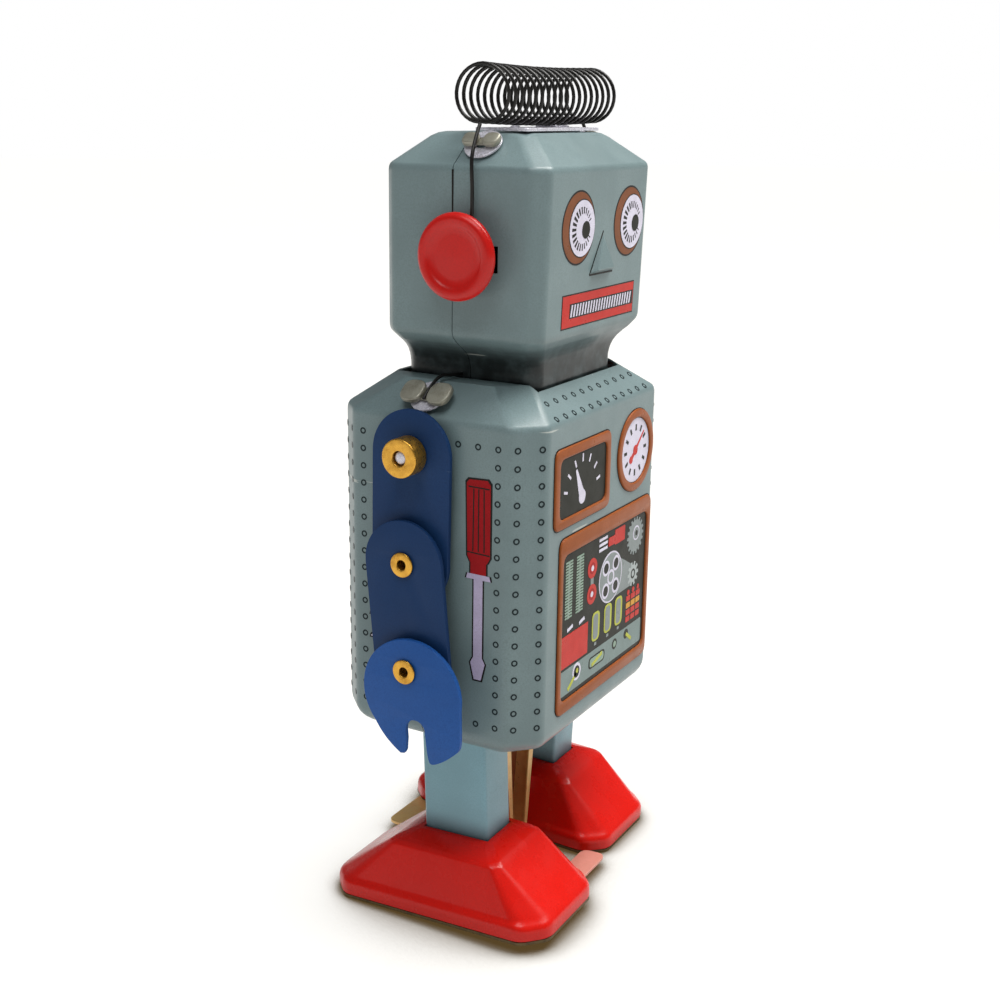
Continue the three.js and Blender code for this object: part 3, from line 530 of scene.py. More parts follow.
# darker towards the foot: painted shade where the leg sinks into the foot, with some dirt
LEG_PAINT = paint("leg_enamel", rgb(126, 166, 178), mottle=0.07, shade_and_grime=(18.5, 25, 0.3))
RED_PAINT = paint("foot_enamel", rgb(206, 22, 12), rough=0.26, coat=0.1, gloss=0.24,
                  mottle=0.05, chips=0.7, chip_colour=rgb(150, 30, 24))
EAR_PAINT = paint("ear_enamel", rgb(192, 20, 14), rough=0.32, coat=0.1, mottle=0.05, chips=0.72,
                  chip_colour=rgb(140, 24, 24))
NAVY_PAINT = paint("arm_enamel", rgb(24, 54, 96), rough=0.45, coat=0.0, mottle=0.06, grain=0.05,
                   chips=0.74, chip_colour=rgb(80, 100, 130), gloss=0.16)
BLUE_PAINT = paint("hand_enamel", rgb(32, 82, 152), rough=0.42, coat=0.0, mottle=0.06, grain=0.05,
                   chips=0.74, chip_colour=rgb(96, 130, 176), gloss=0.2)
BRASS = metal("turned_brass", rgb(226, 172, 72), 0.3, rgb(168, 116, 44), metallic=0.9)
GOLD_TIN = metal("gold_lacquered_tin", rgb(232, 196, 128), 0.34, rgb(214, 166, 104), metallic=0.25)
# the gold tin darkened to brown: painted shade inside the channel
WEB_TIN_PAINTED_SHADE = metal("strut_web_painted_shade_tin", rgb(166, 100, 62), 0.4, rgb(116, 62, 38), metallic=0.3)
BRIGHT_TIN = metal("bright_tin", rgb(222, 220, 230), 0.25, rgb(198, 194, 206), metallic=0.3)
DULL_TIN = metal("dull_tin", rgb(158, 156, 142), 0.36, rgb(112, 108, 94), metallic=0.4)
BLACK_WIRE = metal("black_wire", rgb(24, 21, 18), 0.34, rgb(14, 13, 12), metallic=0.3)
SPRING_STEEL = metal("blued_spring_steel", rgb(84, 92, 104), 0.3, rgb(58, 60, 74))
# dark brown: painted shade where the sole lies under the foot's edge
SOLE_TIN_PAINTED_SHADE = metal("sole_painted_shade_tin", rgb(104, 84, 44), 0.45, rgb(48, 36, 20), metallic=0.3)
INSIDE_STEEL = metal("motor_steel", rgb(170, 172, 174), 0.32, rgb(132, 130, 124))

BLACK = ink("ink_black", rgb(30, 28, 26))
DIAL = ink("ink_dial", rgb(26, 27, 18))
EYE_BROWN = ink("ink_eye_brown", rgb(122, 70, 38))
BROWN = ink("ink_orange_brown", rgb(146, 80, 42))
WHITE = ink("ink_lavender_white", rgb(212, 208, 224))
RED = ink("ink_red", rgb(190, 46, 38))
DEEP_RED = ink("ink_deep_red", rgb(150, 12, 20))
STEEL_GREY = ink("ink_steel_grey", rgb(132, 140, 140))
PALE_GREY = ink("ink_pale_grey", rgb(168, 176, 176))
STRIP_GREY = ink("ink_strip_grey", rgb(122, 138, 136))
COIL_GREEN = ink("ink_coil_green", rgb(138, 160, 144))
YELLOW = ink("ink_yellow", rgb(180, 184, 70))
AMBER = ink("ink_amber", rgb(204, 146, 50))
LAVENDER = ink("ink_lavender", rgb(178, 168, 196))
DOT_INK = ink("ink_dot", rgb(38, 48, 50))


# ---- pressed shells ----
def shell_object(name, levels, material):
    """A pressing of even thickness, open below, over a stack of outlines."""
    build = loft(Build(), levels, 0, False)
    obj = as_object(name, build, [material])
    thick = obj.modifiers.new("tin", "SOLIDIFY")
    thick.thickness = TIN * MM
    thick.offset = -1
    thick.use_even_offset = True
    return bake(obj)


def levels_from(rows, reaches, bend):
    """Outlines at heights; each row is (z, x0, x1, y0, y1, corner), softened up the stack."""
    stack = soften(rows, reaches, closed=False)
    return [[Vector((x, y, row[0])) for x, y in chamfered(*row[1:], bend)] for row in stack]


def split_shell(obj, seam_y, *names):
    """Cuts a shell across its seam into a front and a back pressing."""
    far = 300
    back = obj.copy()
    back.data = obj.data.copy()
    bpy.context.scene.collection.objects.link(back)
    halves = ((obj, -far, seam_y - SEAM), (back, seam_y + SEAM, far))
    for name, (half, y0, y1) in zip(names, halves):
        carve(half, block_tool(-far, far, y0, y1, -far, far), "INTERSECT")
        half.name = name + "_skin"
        settle(half)
        place_piece(half, "trunk", "body_grey", name)


def body_rows():
    def row(z, inset):
        return (z, BODY_LOW.x + inset, BODY_HIGH.x - inset, BODY_LOW.y + inset,
                BODY_HIGH.y - inset, BODY_CORNER)

    rows = []
    for k in range(7):
        a = math.radians(90 - 15 * k)
        rows.append(row(BODY_LOW.z + LIP_RISE * (1 - math.sin(a)), LIP_INSET * (1 - math.cos(a))))
    return rows + [row(EAVES, 0), row(BODY_HIGH.z, ROOF_INSET)]


def make_body():
    rows = body_rows()
    reaches = [0] * (len(rows) - 2) + [1.5, 0]
    obj = shell_object("body", levels_from(rows, reaches, 1.5), BODY_PAINT)
    gap = 1.0
    x, y = NECK_HALF_X + gap, NECK_HALF_Y + gap
    carve(obj, block_tool(-x, x, NECK_MIDDLE_Y - y, NECK_MIDDLE_Y + y, EAVES + 0.5,
                          BODY_HIGH.z + 5))
    for side, s in SIDES:
        pin = middle(f"shoulder_pin_{side}")
        carve(obj, drill_tool(1.8, 10, axle_place(pin, s, s * 30), 24))
    arbor = middle("winding_arbor")
    rear = basis((0, BODY_HIGH.y - 6, arbor.z), X, (0, 0, -1), Y)
    carve(obj, drill_tool(3.4, 12, rear, 32))
    split_shell(obj, BODY_SEAM_Y, "body_front_shell", "body_back_shell")


def head_rows():
    half_x, front, back = HEAD_HIGH.x, HEAD_LOW.y, HEAD_HIGH.y
    neck_front, neck_back = NECK_MIDDLE_Y - NECK_HALF_Y, NECK_MIDDLE_Y + NECK_HALF_Y
    jaw_front = front + JAW_DRAFT

    def blend(t, a, b):
        return a + (b - a) * t

    def neck_row(z):
        return (z, -NECK_HALF_X, NECK_HALF_X, neck_front, neck_back, NECK_CORNER)

    rows = [neck_row(HEAD_LOW.z), neck_row(NECK_TOP)]
    for up, out in ((0.25, 0.07), (0.45, 0.19), (0.6, 0.35), (0.74, 0.56), (0.86, 0.78)):
        x = blend(out, NECK_HALF_X, half_x - 0.9)
        rows.append((blend(up, NECK_TOP, JAW_Z), -x, x, blend(out, neck_front, jaw_front + 0.6),
                     blend(out, neck_back, back - 0.9), blend(out, NECK_CORNER, HEAD_CORNER)))
    return rows + [(JAW_BEND_Z, -half_x, half_x, jaw_front, back, HEAD_CORNER),
                   (BROW_Z, -half_x, half_x, front, back, HEAD_CORNER),
                   (HEAD_HIGH.z, -CROWN_HALF_X, CROWN_HALF_X, CROWN_FRONT, CROWN_BACK,
                    CROWN_CORNER)]


def make_head():
    """A deep pressing over the neck, whose waist is painted darker: painted shade under the jaw,
    with some dirt.
    """
    rows = head_rows()
    reaches = [0, 0.8, 0.6, 0.6, 0.6, 0.6, 0.6, 1.4, 1.3, 0]
    levels = levels_from(rows, reaches, 1.2)
    top, x0, x1, y0, y1, corner = rows[-1]
    crown_bend = ((-1.2, 1.0), (0, 0.28), (1.2, 0))  # (step in from the crown's edge, drop)
    levels[-1:] = [[Vector((x, y, top - drop))
                    for x, y in chamfered(x0 + step, x1 - step, y0 + step, y1 - step, corner, 1.0)]
                   for step, drop in crown_bend]
    obj = shell_object("head", levels, HEAD_PAINT)
    for side, s in SIDES:
        ear = middle(f"ear_{side}")
        wall = s * HEAD_HIGH.x
        carve(obj, block_tool(wall - 3, wall + 3, ear.y - 7.6, ear.y - 5.2,
                              ear.z - 3.5, ear.z + 2.3))
    split_shell(obj, HEAD_SEAM_Y, "head_front_shell", "head_back_shell")


# ---- ears, spring, plate, clips and wires ----
def make_ears():
    """A red disc with a dished face, on a short stem through the head's wall."""
    stem, back = 1.5, 32.0
    for side, s in SIDES:
        low, high = box(f"ear_{side}")
        r = (high.z - low.z) / 2
        inner, face = sorted((abs(low.x), abs(high.x)))
        profile = [(0, inner), (stem, inner), (stem, back), (r - 0.6, back), (r, back + 0.5),
                   (r, face - 1.0), (r - 0.9, face), (r - 2.4, face - 0.1), (r - 3.2, face - 0.75),
                   (r - 4.4, face - 0.95), (0, face - 0.8)]
        reaches = [0, 0.2, 0.3, 0.3, 0.3, 0.6, 0.6, 0.5, 0.5, 0.5, 0]
        build = lathe(Build(), soften(profile, reaches, closed=False),
                      axle_place((low + high) / 2, s), 72)
        piece(f"ear_disc_{side}", build, [EAR_PAINT], 50, "trunk", "red_paint", f"ear_{side}")


SPRING_Y = -6.6


def make_spring():
    """A close coil across the head that sags a little and lies slightly askew."""
    z, radius, wire, half, turns, per_turn = 192.67, 6.05, 0.42, 24.2, 18, 32
    skew, sag = -0.07, 0.5
    path = []
    for i in range(turns * per_turn + 1):
        t = i / (turns * per_turn)
        a = -math.pi / 2 + t * turns * 2 * math.pi
        x = -half + 2 * half * t
        path.append((x, SPRING_Y + skew * x + radius * math.cos(a),
                     z - sag * math.sin(t * math.pi) + radius * math.sin(a)))
    piece("coil_antenna", tube(Build(), path, wire, 8), [BLACK_WIRE], 60,
          "trunk", "black_wire", "antenna_spring")


def make_antenna_plate():
    low, high = box("antenna_plate")
    build = Build()
    top = high.z - 0.5
    plate(build, [rectangle(low.x, high.x, low.y, high.y, 0.8, 4)], low.z, top, FLAT, 0.12)
    plate(build, [rectangle(3, 9.5, -9.5, -4, 0.6, 4)], top - 0.1, high.z, FLAT, 0.12)
    stud = [(1.1, top - 0.05), (1.1, top + 0.25), (0.6, top + 0.45), (0, top + 0.5)]
    for x in (-11, 13):
        lathe(build, stud, Matrix.Translation((x, SPRING_Y, 0)), 20)
    piece("antenna_base_plate", build, [BRIGHT_TIN], 40, "trunk", "bright_tin", "antenna_plate")


def clip_place(s, x, y, z, lean):
    across = Vector((math.cos(lean), 0, -s * math.sin(lean)))
    normal = Vector((s * math.sin(lean), 0, math.cos(lean)))
    return basis((s * x, y, z), across, Y, normal)


HEAD_LEAN = math.atan2(HEAD_HIGH.z - BROW_Z, HEAD_HIGH.x - CROWN_HALF_X)
ROOF_LEAN = math.atan2(ROOF_RISE, ROOF_INSET)
GAP = 0.3


def make_clip(side, s, spot, at, lean, span, width):
    """A round washer on a slope, held by two bent tabs."""
    washer_radius, hole, washer_height, clip_height, slot = 4.3, 1.5, 0.5, 1.5, 1.3
    place = clip_place(s, *at, lean)
    rings = [ring_points(0, 0, washer_radius, 40), ring_points(0, 0, hole, 24)]
    washer = plate(Build(), rings, 2 * GAP, 2 * GAP + washer_height, place, 0.1)
    piece(f"{spot}_washer_disc_{side}", washer, [BRIGHT_TIN], 40,
          "trunk", "bright_tin", f"{spot}_washer_{side}")
    clip = Build()
    base = 3 * GAP + washer_height
    r = width / 2
    for e in (-1, 1):
        ends = sorted((e * slot / 2, e * span / 2))
        plate(clip, [rectangle(-r, r, *ends, r * 0.95, 8)], base, base + clip_height, place, 0.45)
    web_x, web_y = width * 0.3, span * 0.3
    plate(clip, [rectangle(-web_x, web_x, -web_y, web_y)], base, base + 0.4, place, 0.05)
    piece(f"{spot}_tab_{side}", clip, [DULL_TIN], 50, "trunk", "bright_tin", f"{spot}_clip_{side}")


def make_clips():
    for side, s in SIDES:
        make_clip(side, s, "head", (23.1, -5.8, 181.3), HEAD_LEAN, 9, 3.6)
        make_clip(side, s, "shoulder", (31.2, 3.0, 126.5), ROOF_LEAN, 12.6, 6)


def make_wires():
    lead = [(24.8, -5.6, 186.2), (25.8, -5.7, 184.9), (27.7, -6, 182.3), (29.4, -6.3, 178.6),
            (29.4, -6.5, 172), (29.3, -6.3, 166), (29.2, -6, 163)]
    tie = [(34, 2.9, 127.1), (30.9, 2.8, 129.5), (27.5, 2.4, 131.2), (24, 1.6, 131.0),
           (21, 0.8, 130.9)]
    for side, s in SIDES:
        for name, points, radius in (("antenna_wire", lead, 0.42), ("neck_wire", tie, 0.4)):
            path = spline([(s * x, y, z) for x, y, z in points], 10)
            build = tube(Build(), path, radius, 10)
            piece(f"{name}_strand_{side}", build, [BLACK_WIRE], 60,
                  "trunk", "black_wire", f"{name}_{side}")


# ---- arms ----
SHOULDER, ELBOW, WRIST = (3.8, 115.0), (4.2, 90.0), (1.9, 65.6)
EYELET_FLANGE, EYELET_BARREL, EYELET_BORE = 2.9, 1.9, 1.15


def link_outline(top, bottom, radius):
    angle = math.degrees(math.atan2(bottom[1] - top[1], bottom[0] - top[0]))
    return arc(bottom[0], bottom[1], radius, angle - 90, angle + 90, 28) \
        + arc(top[0], top[1], radius, angle + 90, angle + 270, 28)


def hand_outline():
    """An open spanner: a round palm, a blunt front jaw, a pointed rear jaw and a slot."""
    y, z, r = WRIST[0] - 1.6, WRIST[1] - 5.2, 13.0
    front, rear = z - 16.6, z - 15.3
    slot_y, slot_z, slot_r = y - 1.1, z - 8.9, 2.6
    rear_cut = 0.7
    line = arc(y, z, r, -math.degrees(rear_cut), 180 + math.degrees(0.12), 44)
    jaw = [line[-1], (y - r - 0.1, front + 5.6), (y - r + 2, front + 3.6), (y - 8.2, front + 1.4),
           (y - 5.2, front), (y - 4.4, front + 2), (slot_y - slot_r, slot_z)]
    line += [tuple(p) for p in soften(jaw, 2.2, 5, closed=False)][1:-1]
    line += arc(slot_y, slot_z, slot_r, 180, 0, 16)
    line += [(y + 1.3, rear + 4), (y + 1.5, rear + 1.0), (y + 1.9, rear + 0.2), (y + 2.9, rear)]
    cut = Vector((y + r * math.cos(rear_cut), z - r * math.sin(rear_cut)))
    tip, bulge = Vector((y + 2.9, rear)), Vector((y + 7.4, rear + 2.6))
    line += [tuple(tip * (1 - t) ** 2 + bulge * 2 * t * (1 - t) + cut * t ** 2)
             for t in (0.15, 0.3, 0.45, 0.6, 0.75, 0.9)]
    return line


def eyelet_profile(x0, x1):
    flange, barrel, bore, lip = EYELET_FLANGE, EYELET_BARREL, EYELET_BORE, 0.5
    points = [(bore, x0 + 0.1), (bore + 0.7, x0), (flange, x0 + 0.12), (flange, x0 + lip),
              (barrel, x0 + lip), (barrel, x1 - lip), (flange, x1 - lip), (flange, x1 - 0.12),
              (bore + 0.7, x1), (bore, x1 - 0.1)]
    return soften(points, [0.25, 0.3, 0.2, 0.1, 0.1, 0.1, 0.1, 0.2, 0.3, 0.25], 3)


def make_link(body, node, outline, holes, material, slot):
    """One flat plate of an arm, with a hole for each of its pivots."""
    low, high = box(node)
    outlines = [outline]
    for hole in holes:
        radius = 1.8 if hole is SHOULDER else EYELET_BARREL + 0.3
        outlines.append(ring_points(*hole, radius, 24))
    build = plate(Build(), outlines, low.x, high.x, UPRIGHT, 0.14)
    piece(f"{node}_plate", build, [material], 40, body, slot, node)


def make_arm(side, s):
    upper, fore = f"{side}_upper_arm", f"{side}_forearm"
    make_link(upper, f"upper_arm_{side}", link_outline(SHOULDER, ELBOW, 10.2),
              (SHOULDER, ELBOW), NAVY_PAINT, "navy_paint")
    make_link(fore, f"forearm_{side}", link_outline(ELBOW, WRIST, 10.2),
              (ELBOW, WRIST), NAVY_PAINT, "navy_paint")
    make_link(f"{side}_hand", f"hand_{side}", hand_outline(), (WRIST,), BLUE_PAINT, "blue_paint")

    for joint, body in (("elbow", upper), ("wrist", fore)):
        node = f"{joint}_rivet_{side}"
        low, high = box(node)
        profile = eyelet_profile(low.x, high.x)
        build = lathe(Build(), profile, axle_place(middle(node)), 40, closed=True)
        piece(f"{joint}_eyelet_{side}", build, [BRASS], 50, body, "brass", node)

    low, high = box(f"shoulder_collar_{side}")
    place = axle_place((low + high) / 2)
    radius, bore = (high.z - low.z) / 2, 1.7
    profile = [(bore, low.x), (radius, low.x), (radius, high.x), (bore, high.x)]
    build = lathe(Build(), soften(profile, 0.28, 3), place, 64, closed=True)
    piece(f"shoulder_bush_{side}", build, [BRASS], 50, "trunk", "brass", f"shoulder_collar_{side}")

    low, high = box(f"shoulder_pin_{side}")
    start, end = (low.x, high.x) if s > 0 else (high.x, low.x)
    head = start + s * 1.5
    profile = [(0, start), (3.0, start), (3.0, head), (1.5, head), (1.5, end - s * 0.1), (0, end)]
    line = soften(profile, [0, 0.3, 0.3, 0.2, 0.5, 0], 4, closed=False)
    piece(f"shoulder_pivot_{side}", lathe(Build(), line, place, 32), [BRIGHT_TIN], 50,
          "trunk", "bright_tin", f"shoulder_pin_{side}")


# ---- legs and feet ----
LEG_INNER, LEG_OUTER, LEG_HALF_Y, LEG_TOP, LEG_BOTTOM = 17.8, 29.2, 8.75, 60.0, 14.0
FOOT_INNER, FOOT_OUTER, TOE, HEEL, FOOT_CORNER = 8.0, 40.5, -28.6, 31.5, 5.2
RIM, INSTEP_TOP = 5.2, 19.5  # heights of the foot's vertical rim and of its top
INSTEP_INNER, INSTEP_OUTER, INSTEP_HALF_Y, INSTEP_CORNER = 13.0, 36.0, 15.0, 1.8
INSTEP_DROP = 1.9
SOLE_THICKNESS = 0.8
SOLE_BOTTOM = HIP_Z - (HIP_Z - HEEL * math.sin(SWING)) / math.cos(SWING)  # before the leg swings
TAB_SPANS = {"right": (-22.8, -16.3), "left": (21.7, 28.2)}


def leg_tilt(s, y=0.0, unit=1.0):
    """Swings a leg about its hip; unit is the length of a millimetre."""
    hip = Matrix.Translation((0, y * unit, HIP_Z * unit))
    return hip @ Matrix.Rotation(s * SWING, 4, "X") @ hip.inverted()


def span(s, a, b):
    return sorted((s * a, s * b))


def make_leg(side, s):
    x0, x1 = span(s, LEG_INNER, LEG_OUTER)
    y = LEG_HALF_Y
    outer = rectangle(x0, x1, -y, y, 0.9, 5)
    inner = rectangle(x0 + TIN, x1 - TIN, TIN - y, y - TIN, 0.6, 5)
    section = ((outer, LEG_BOTTOM), (outer, LEG_TOP), (inner, LEG_TOP), (inner, LEG_BOTTOM),
               (outer, LEG_BOTTOM))
    rings = [[Vector((*p, z)) for p in line] for line, z in section]
    build = loft(Build(), rings, 0, False, False)
    half, window = 7.0, 3.9
    low, high = span(s, LEG_INNER, LEG_INNER + TIN)
    strap = [(-half, LEG_TOP - 2), (half, LEG_TOP - 2)] + arc(0, HIP_Z, half, 0, 180, 18)
    crank = middle("crank_shaft")
    opening = rectangle(crank.y - window, crank.y + window, crank.z - window, crank.z + window, 0.6)
    plate(build, [strap, ring_points(0, HIP_Z, 1.9, 20), opening], low, high, UPRIGHT, 0.06)
    build.moved(leg_tilt(s))
    piece(f"leg_tube_{side}", build, [LEG_PAINT], 40, f"{side}_leg", "leg_grey", f"leg_{side}")


def make_foot(side, s):
    margin, gap = 1.5, 0.25  # ledge around the leg, and play in the hole for it

    def row(z, inner, outer, y0, y1, corner):
        return (z, *span(s, inner, outer), y0, y1, corner)

    instep = INSTEP_TOP - INSTEP_DROP
    low, high, top = INSTEP_HALF_Y + 0.7, INSTEP_HALF_Y - 0.3, LEG_HALF_Y + margin
    rows = [
        row(SOLE_BOTTOM + SOLE_THICKNESS + GAP, FOOT_INNER, FOOT_OUTER, TOE, HEEL, FOOT_CORNER),
        row(RIM, FOOT_INNER, FOOT_OUTER, TOE, HEEL, FOOT_CORNER),
        row(RIM + 1.3, FOOT_INNER + 1, FOOT_OUTER - 1, TOE + 1.2, HEEL - 1.2, FOOT_CORNER),
        row(instep - 0.7, INSTEP_INNER - 0.3, INSTEP_OUTER + 0.3, -low, low, INSTEP_CORNER),
        row(instep, INSTEP_INNER + 0.5, INSTEP_OUTER - 0.5, -high, high, INSTEP_CORNER),
        row(INSTEP_TOP, LEG_INNER - margin, LEG_OUTER + margin, -top, top, 1),
    ]
    levels = levels_from(rows, [0, 1.2, 1.0, 0.6, 0.6, 0], 2.2)
    obj = shell_object(f"foot_shell_{side}", levels, RED_PAINT)
    half = LEG_HALF_Y + gap
    carve(obj, block_tool(*span(s, LEG_INNER - gap, LEG_OUTER + gap), -half, half,
                          INSTEP_TOP - 4, INSTEP_TOP + 4))
    obj.data.transform(leg_tilt(s, TRUNK_Y, MM))
    settle(obj)
    place_piece(obj, f"{side}_leg", "red_paint", f"foot_{side}")


# ---- strut, soles and key ----
def make_strut():
    """A channel that narrows downwards, with its web to the back."""
    low, high = box("centre_strut")
    y0, y1, t = low.y, high.y, TIN
    top_half, bottom_half, steps = (high.x - low.x) / 2, 4.0, 6
    levels = []
    for k in range(steps + 1):
        up = k / steps
        z = low.z + (high.z - low.z) * up
        h = bottom_half + (top_half - bottom_half) * up
        flange = min(2.8, h * 0.34)
        outline = [(-h, y0), (-h + flange, y0), (-h + flange, y0 + t), (-h + t, y0 + t),
                   (-h + t, y1 - t), (h - t, y1 - t), (h - t, y0 + t), (h - flange, y0 + t),
                   (h - flange, y0), (h, y0), (h, y1), (-h, y1)]
        levels.append([Vector((x, y, z)) for x, y in outline])
    build = loft(Build(), levels)
    # the web's front face is painted brown as the shade inside the channel
    web = 4  # the outline's edge that is the web's front face
    for k in range(steps):
        build.materials[k * len(levels[0]) + web] = 1
    obj = as_object("centre_strut_channel", build, [GOLD_TIN, WEB_TIN_PAINTED_SHADE], 30)
    bevel = obj.modifiers.new("soft", "BEVEL")
    bevel.width = 0.12 * MM
    bevel.segments = 2
    bevel.limit_method = "ANGLE"
    settle(obj)
    place_piece(obj, "trunk", "gold_tin", "centre_strut")


def make_sole(side, s):
    """A sole plate under the foot, painted dark as the shade under the foot's edge, with a bare
    tongue that ends short of the other foot; the tongue is tinted with painted reflection on the
    right and painted light on the left.
    """
    low, high = box(f"sole_{side}")
    inset, thin, turn = 0.2, 0.04, 2.4
    top = SOLE_BOTTOM + SOLE_THICKNESS
    x0, x1 = span(s, FOOT_INNER + inset, FOOT_OUTER - inset)
    outline = chamfered(x0, x1, TOE + inset, HEEL, FOOT_CORNER)
    build = plate(Build(), [outline], SOLE_BOTTOM, top, FLAT, 0.08)
    root, tip = s * (FOOT_INNER + 3), high.x if s < 0 else low.x
    y0, y1 = TAB_SPANS[side]
    corners = [(root, y0), (tip, y0), (tip, y1), (root, y1)]
    tongue = soften(corners, [0, turn, turn, 0], 8)
    plate(build, [tongue], SOLE_BOTTOM + thin, top - thin, FLAT, 0.08, 1)
    build.moved(leg_tilt(s))
    obj = as_object(f"sole_plate_{side}", build, [SOLE_TIN_PAINTED_SHADE, TAB_TINS_PAINTED_LIGHT[side]], 40)
    place_piece(obj, f"{side}_leg", "bright_tin", f"sole_{side}")


def oval(u, v, half_u, half_v, steps):
    return [(u + half_u * x, v + half_v * y) for x, y in ring_points(0, 0, 1, steps)]


def make_key():
    """A shaft with two flat wings, each with an oval hole."""
    low, high = box("winding_key")
    z = (low.z + high.z) / 2
    shaft = [(0, low.y), (2.2, low.y), (2.2, high.y - 2.4), (1.5, high.y - 1.1), (0, high.y - 1)]
    line = soften(shaft, [0, 0.25, 0.4, 0.4, 0], 4, closed=False)
    build = lathe(Build(), line, basis((0, 0, z), X, (0, 0, -1), Y), 40)
    y0, y1, root = 35.4, high.y, 1.6
    wing = (high.z - low.z) / 2 - root
    y = (y0 + y1) / 2
    for e in (-1, 1):
        v = z + e * (root + wing / 2)
        rim = oval(y, v, (y1 - y0) / 2, wing / 2, 40)
        plate(build, [rim, oval(y, v, 1.6, 2.8, 24)], -0.7, 0.7, UPRIGHT, 0.3)
    piece("butterfly_key", build, [BRIGHT_TIN], 45, "winder", "bright_tin", "winding_key")


# ---- printed art ----
class Print(Build):
    """Ink shapes on a panel; each layer lies a hair above the last."""

    ROOT, BASE, STEP = -0.05, 0.015, 0.03

    def __init__(self, place, inks):
        super().__init__()
        self.place = place
        self.inks = inks

    def shape(self, outline, colour, layer=0):
        top = self.BASE + self.STEP * (layer + 1)
        slab(self, outline, self.ROOT, top, self.place, self.inks.index(colour))

    def disc(self, u, v, radius, colour, layer=0, steps=36):
        self.shape(ring_points(u, v, radius, steps), colour, layer)

    def stack(self, u, v, layer, *discs, steps=36):
        """Discs of (radius, colour) about one point, each a layer above the last."""
        for k, (radius, colour) in enumerate(discs):
            self.disc(u, v, radius, colour, layer + k, steps)

    def ring(self, u, v, inner, outer, colour, layer=0, steps=28):
        top = self.BASE + self.STEP * (layer + 1)
        lines = [(outer, self.ROOT), (outer, top), (inner, top), (inner, self.ROOT),
                 (outer, self.ROOT)]
        levels = [[self.place @ Vector((x, y, w)) for x, y in ring_points(u, v, r, steps)]
                  for r, w in lines]
        loft(self, levels, self.inks.index(colour), False, False)

    def bar(self, start, end, width, colour, layer=0, end_width=None):
        a, b = Vector(start), Vector(end)
        across = Vector((a.y - b.y, b.x - a.x)).normalized()
        w0, w1 = width / 2, (width if end_width is None else end_width) / 2
        corners = [a + across * w0, b + across * w1, b - across * w1, a - across * w0]
        self.shape(corners, colour, layer)

    def ray(self, u, v, angle, start, end, width, colour, layer=0, end_width=None):
        """A bar that points away from (u, v), between two distances from it."""
        centre = Vector((u, v))
        out = Vector((math.cos(angle), math.sin(angle)))
        self.bar(centre + out * start, centre + out * end, width, colour, layer, end_width)

    def box(self, x0, x1, z0, z1, colour, layer=0, radius=0.0):
        self.shape(rectangle(x0, x1, z0, z1, radius), colour, layer)

    def done(self, name):
        piece(name, self, self.inks, 40, "trunk", "body_grey")


PRINT_SHIFT = 2.6  # the front print sits a little to the robot's left on the pressing
FACE_SHIFT = 2.0
FRONT = basis((PRINT_SHIFT, BODY_LOW.y, 0), X, Z, (0, -1, 0))


FRAME_RISE = 0.5


def raised_frame(name, outer, inner):
    """An embossed rim with rounded edges, printed orange-brown, in a thin dark outline."""
    build = plate(Build(), [outer, inner], -0.3, FRAME_RISE, FRONT, 0.3)
    piece(name, build, [BROWN], 50, "trunk", "body_grey")


def make_square_gauge():
    art = Print(FRONT, [BLACK, DIAL, WHITE])
    art.box(-28.7, 0.3, 97.9, 117.2, BLACK, 0, 2.6)
    art.box(-26.2, -1.9, 100.3, 114.6, BLACK, 1, 2.2)
    art.box(-25.8, -2.3, 100.7, 114.2, DIAL, 2, 2.0)
    pivot, tip = (-14.4, 103.7), (-17.6, 110.6)
    art.bar(pivot, tip, 2.8, WHITE, 3, 0.7)
    art.disc(*pivot, 1.7, WHITE, 4)
    for k in range(7):
        art.ray(-14.4, 104.3, math.radians(14 + 25.4 * k), 7.7, 9.6, 0.62, WHITE, 3)
    art.done("square_gauge_print")
    raised_frame("square_gauge_frame", rectangle(-28.4, 0.0, 98.2, 116.9, 2.4),
                 rectangle(-26.1, -2.0, 100.4, 114.5, 2.1))


def make_round_gauge():
    u0, v0 = 14.8, 108.8
    art = Print(FRONT, [BLACK, WHITE, RED, DIAL])
    art.disc(u0, v0, 10.5, BLACK, 0, 64)
    art.stack(u0, v0, 1, (8.3, BLACK), (8.0, WHITE), steps=56)
    for k in range(12):
        art.ray(u0, v0, math.radians(30 * k), 4.9, 6.5, 0.8, DIAL, 3)
    needle = math.radians(41)
    art.ray(u0, v0, needle, -3.4, 6.3, 1.3, RED, 4, 0.4)
    art.disc(u0, v0, 1.25, RED, 5)
    art.disc(u0 - 3.2 * math.cos(needle), v0 - 3.2 * math.sin(needle), 0.95, RED, 5)
    art.done("round_gauge_print")
    raised_frame("round_gauge_frame", ring_points(u0, v0, 10.3, 72), ring_points(u0, v0, 8.2, 64))


def gear_outline(u, v, root, tip, teeth):
    outline = []
    for k in range(teeth):
        for part, r in ((-0.3, root), (-0.2, tip), (0.2, tip), (0.3, root)):
            a = 2 * math.pi * (k + part) / teeth
            outline.append((u + r * math.cos(a), v + r * math.sin(a)))
    return outline


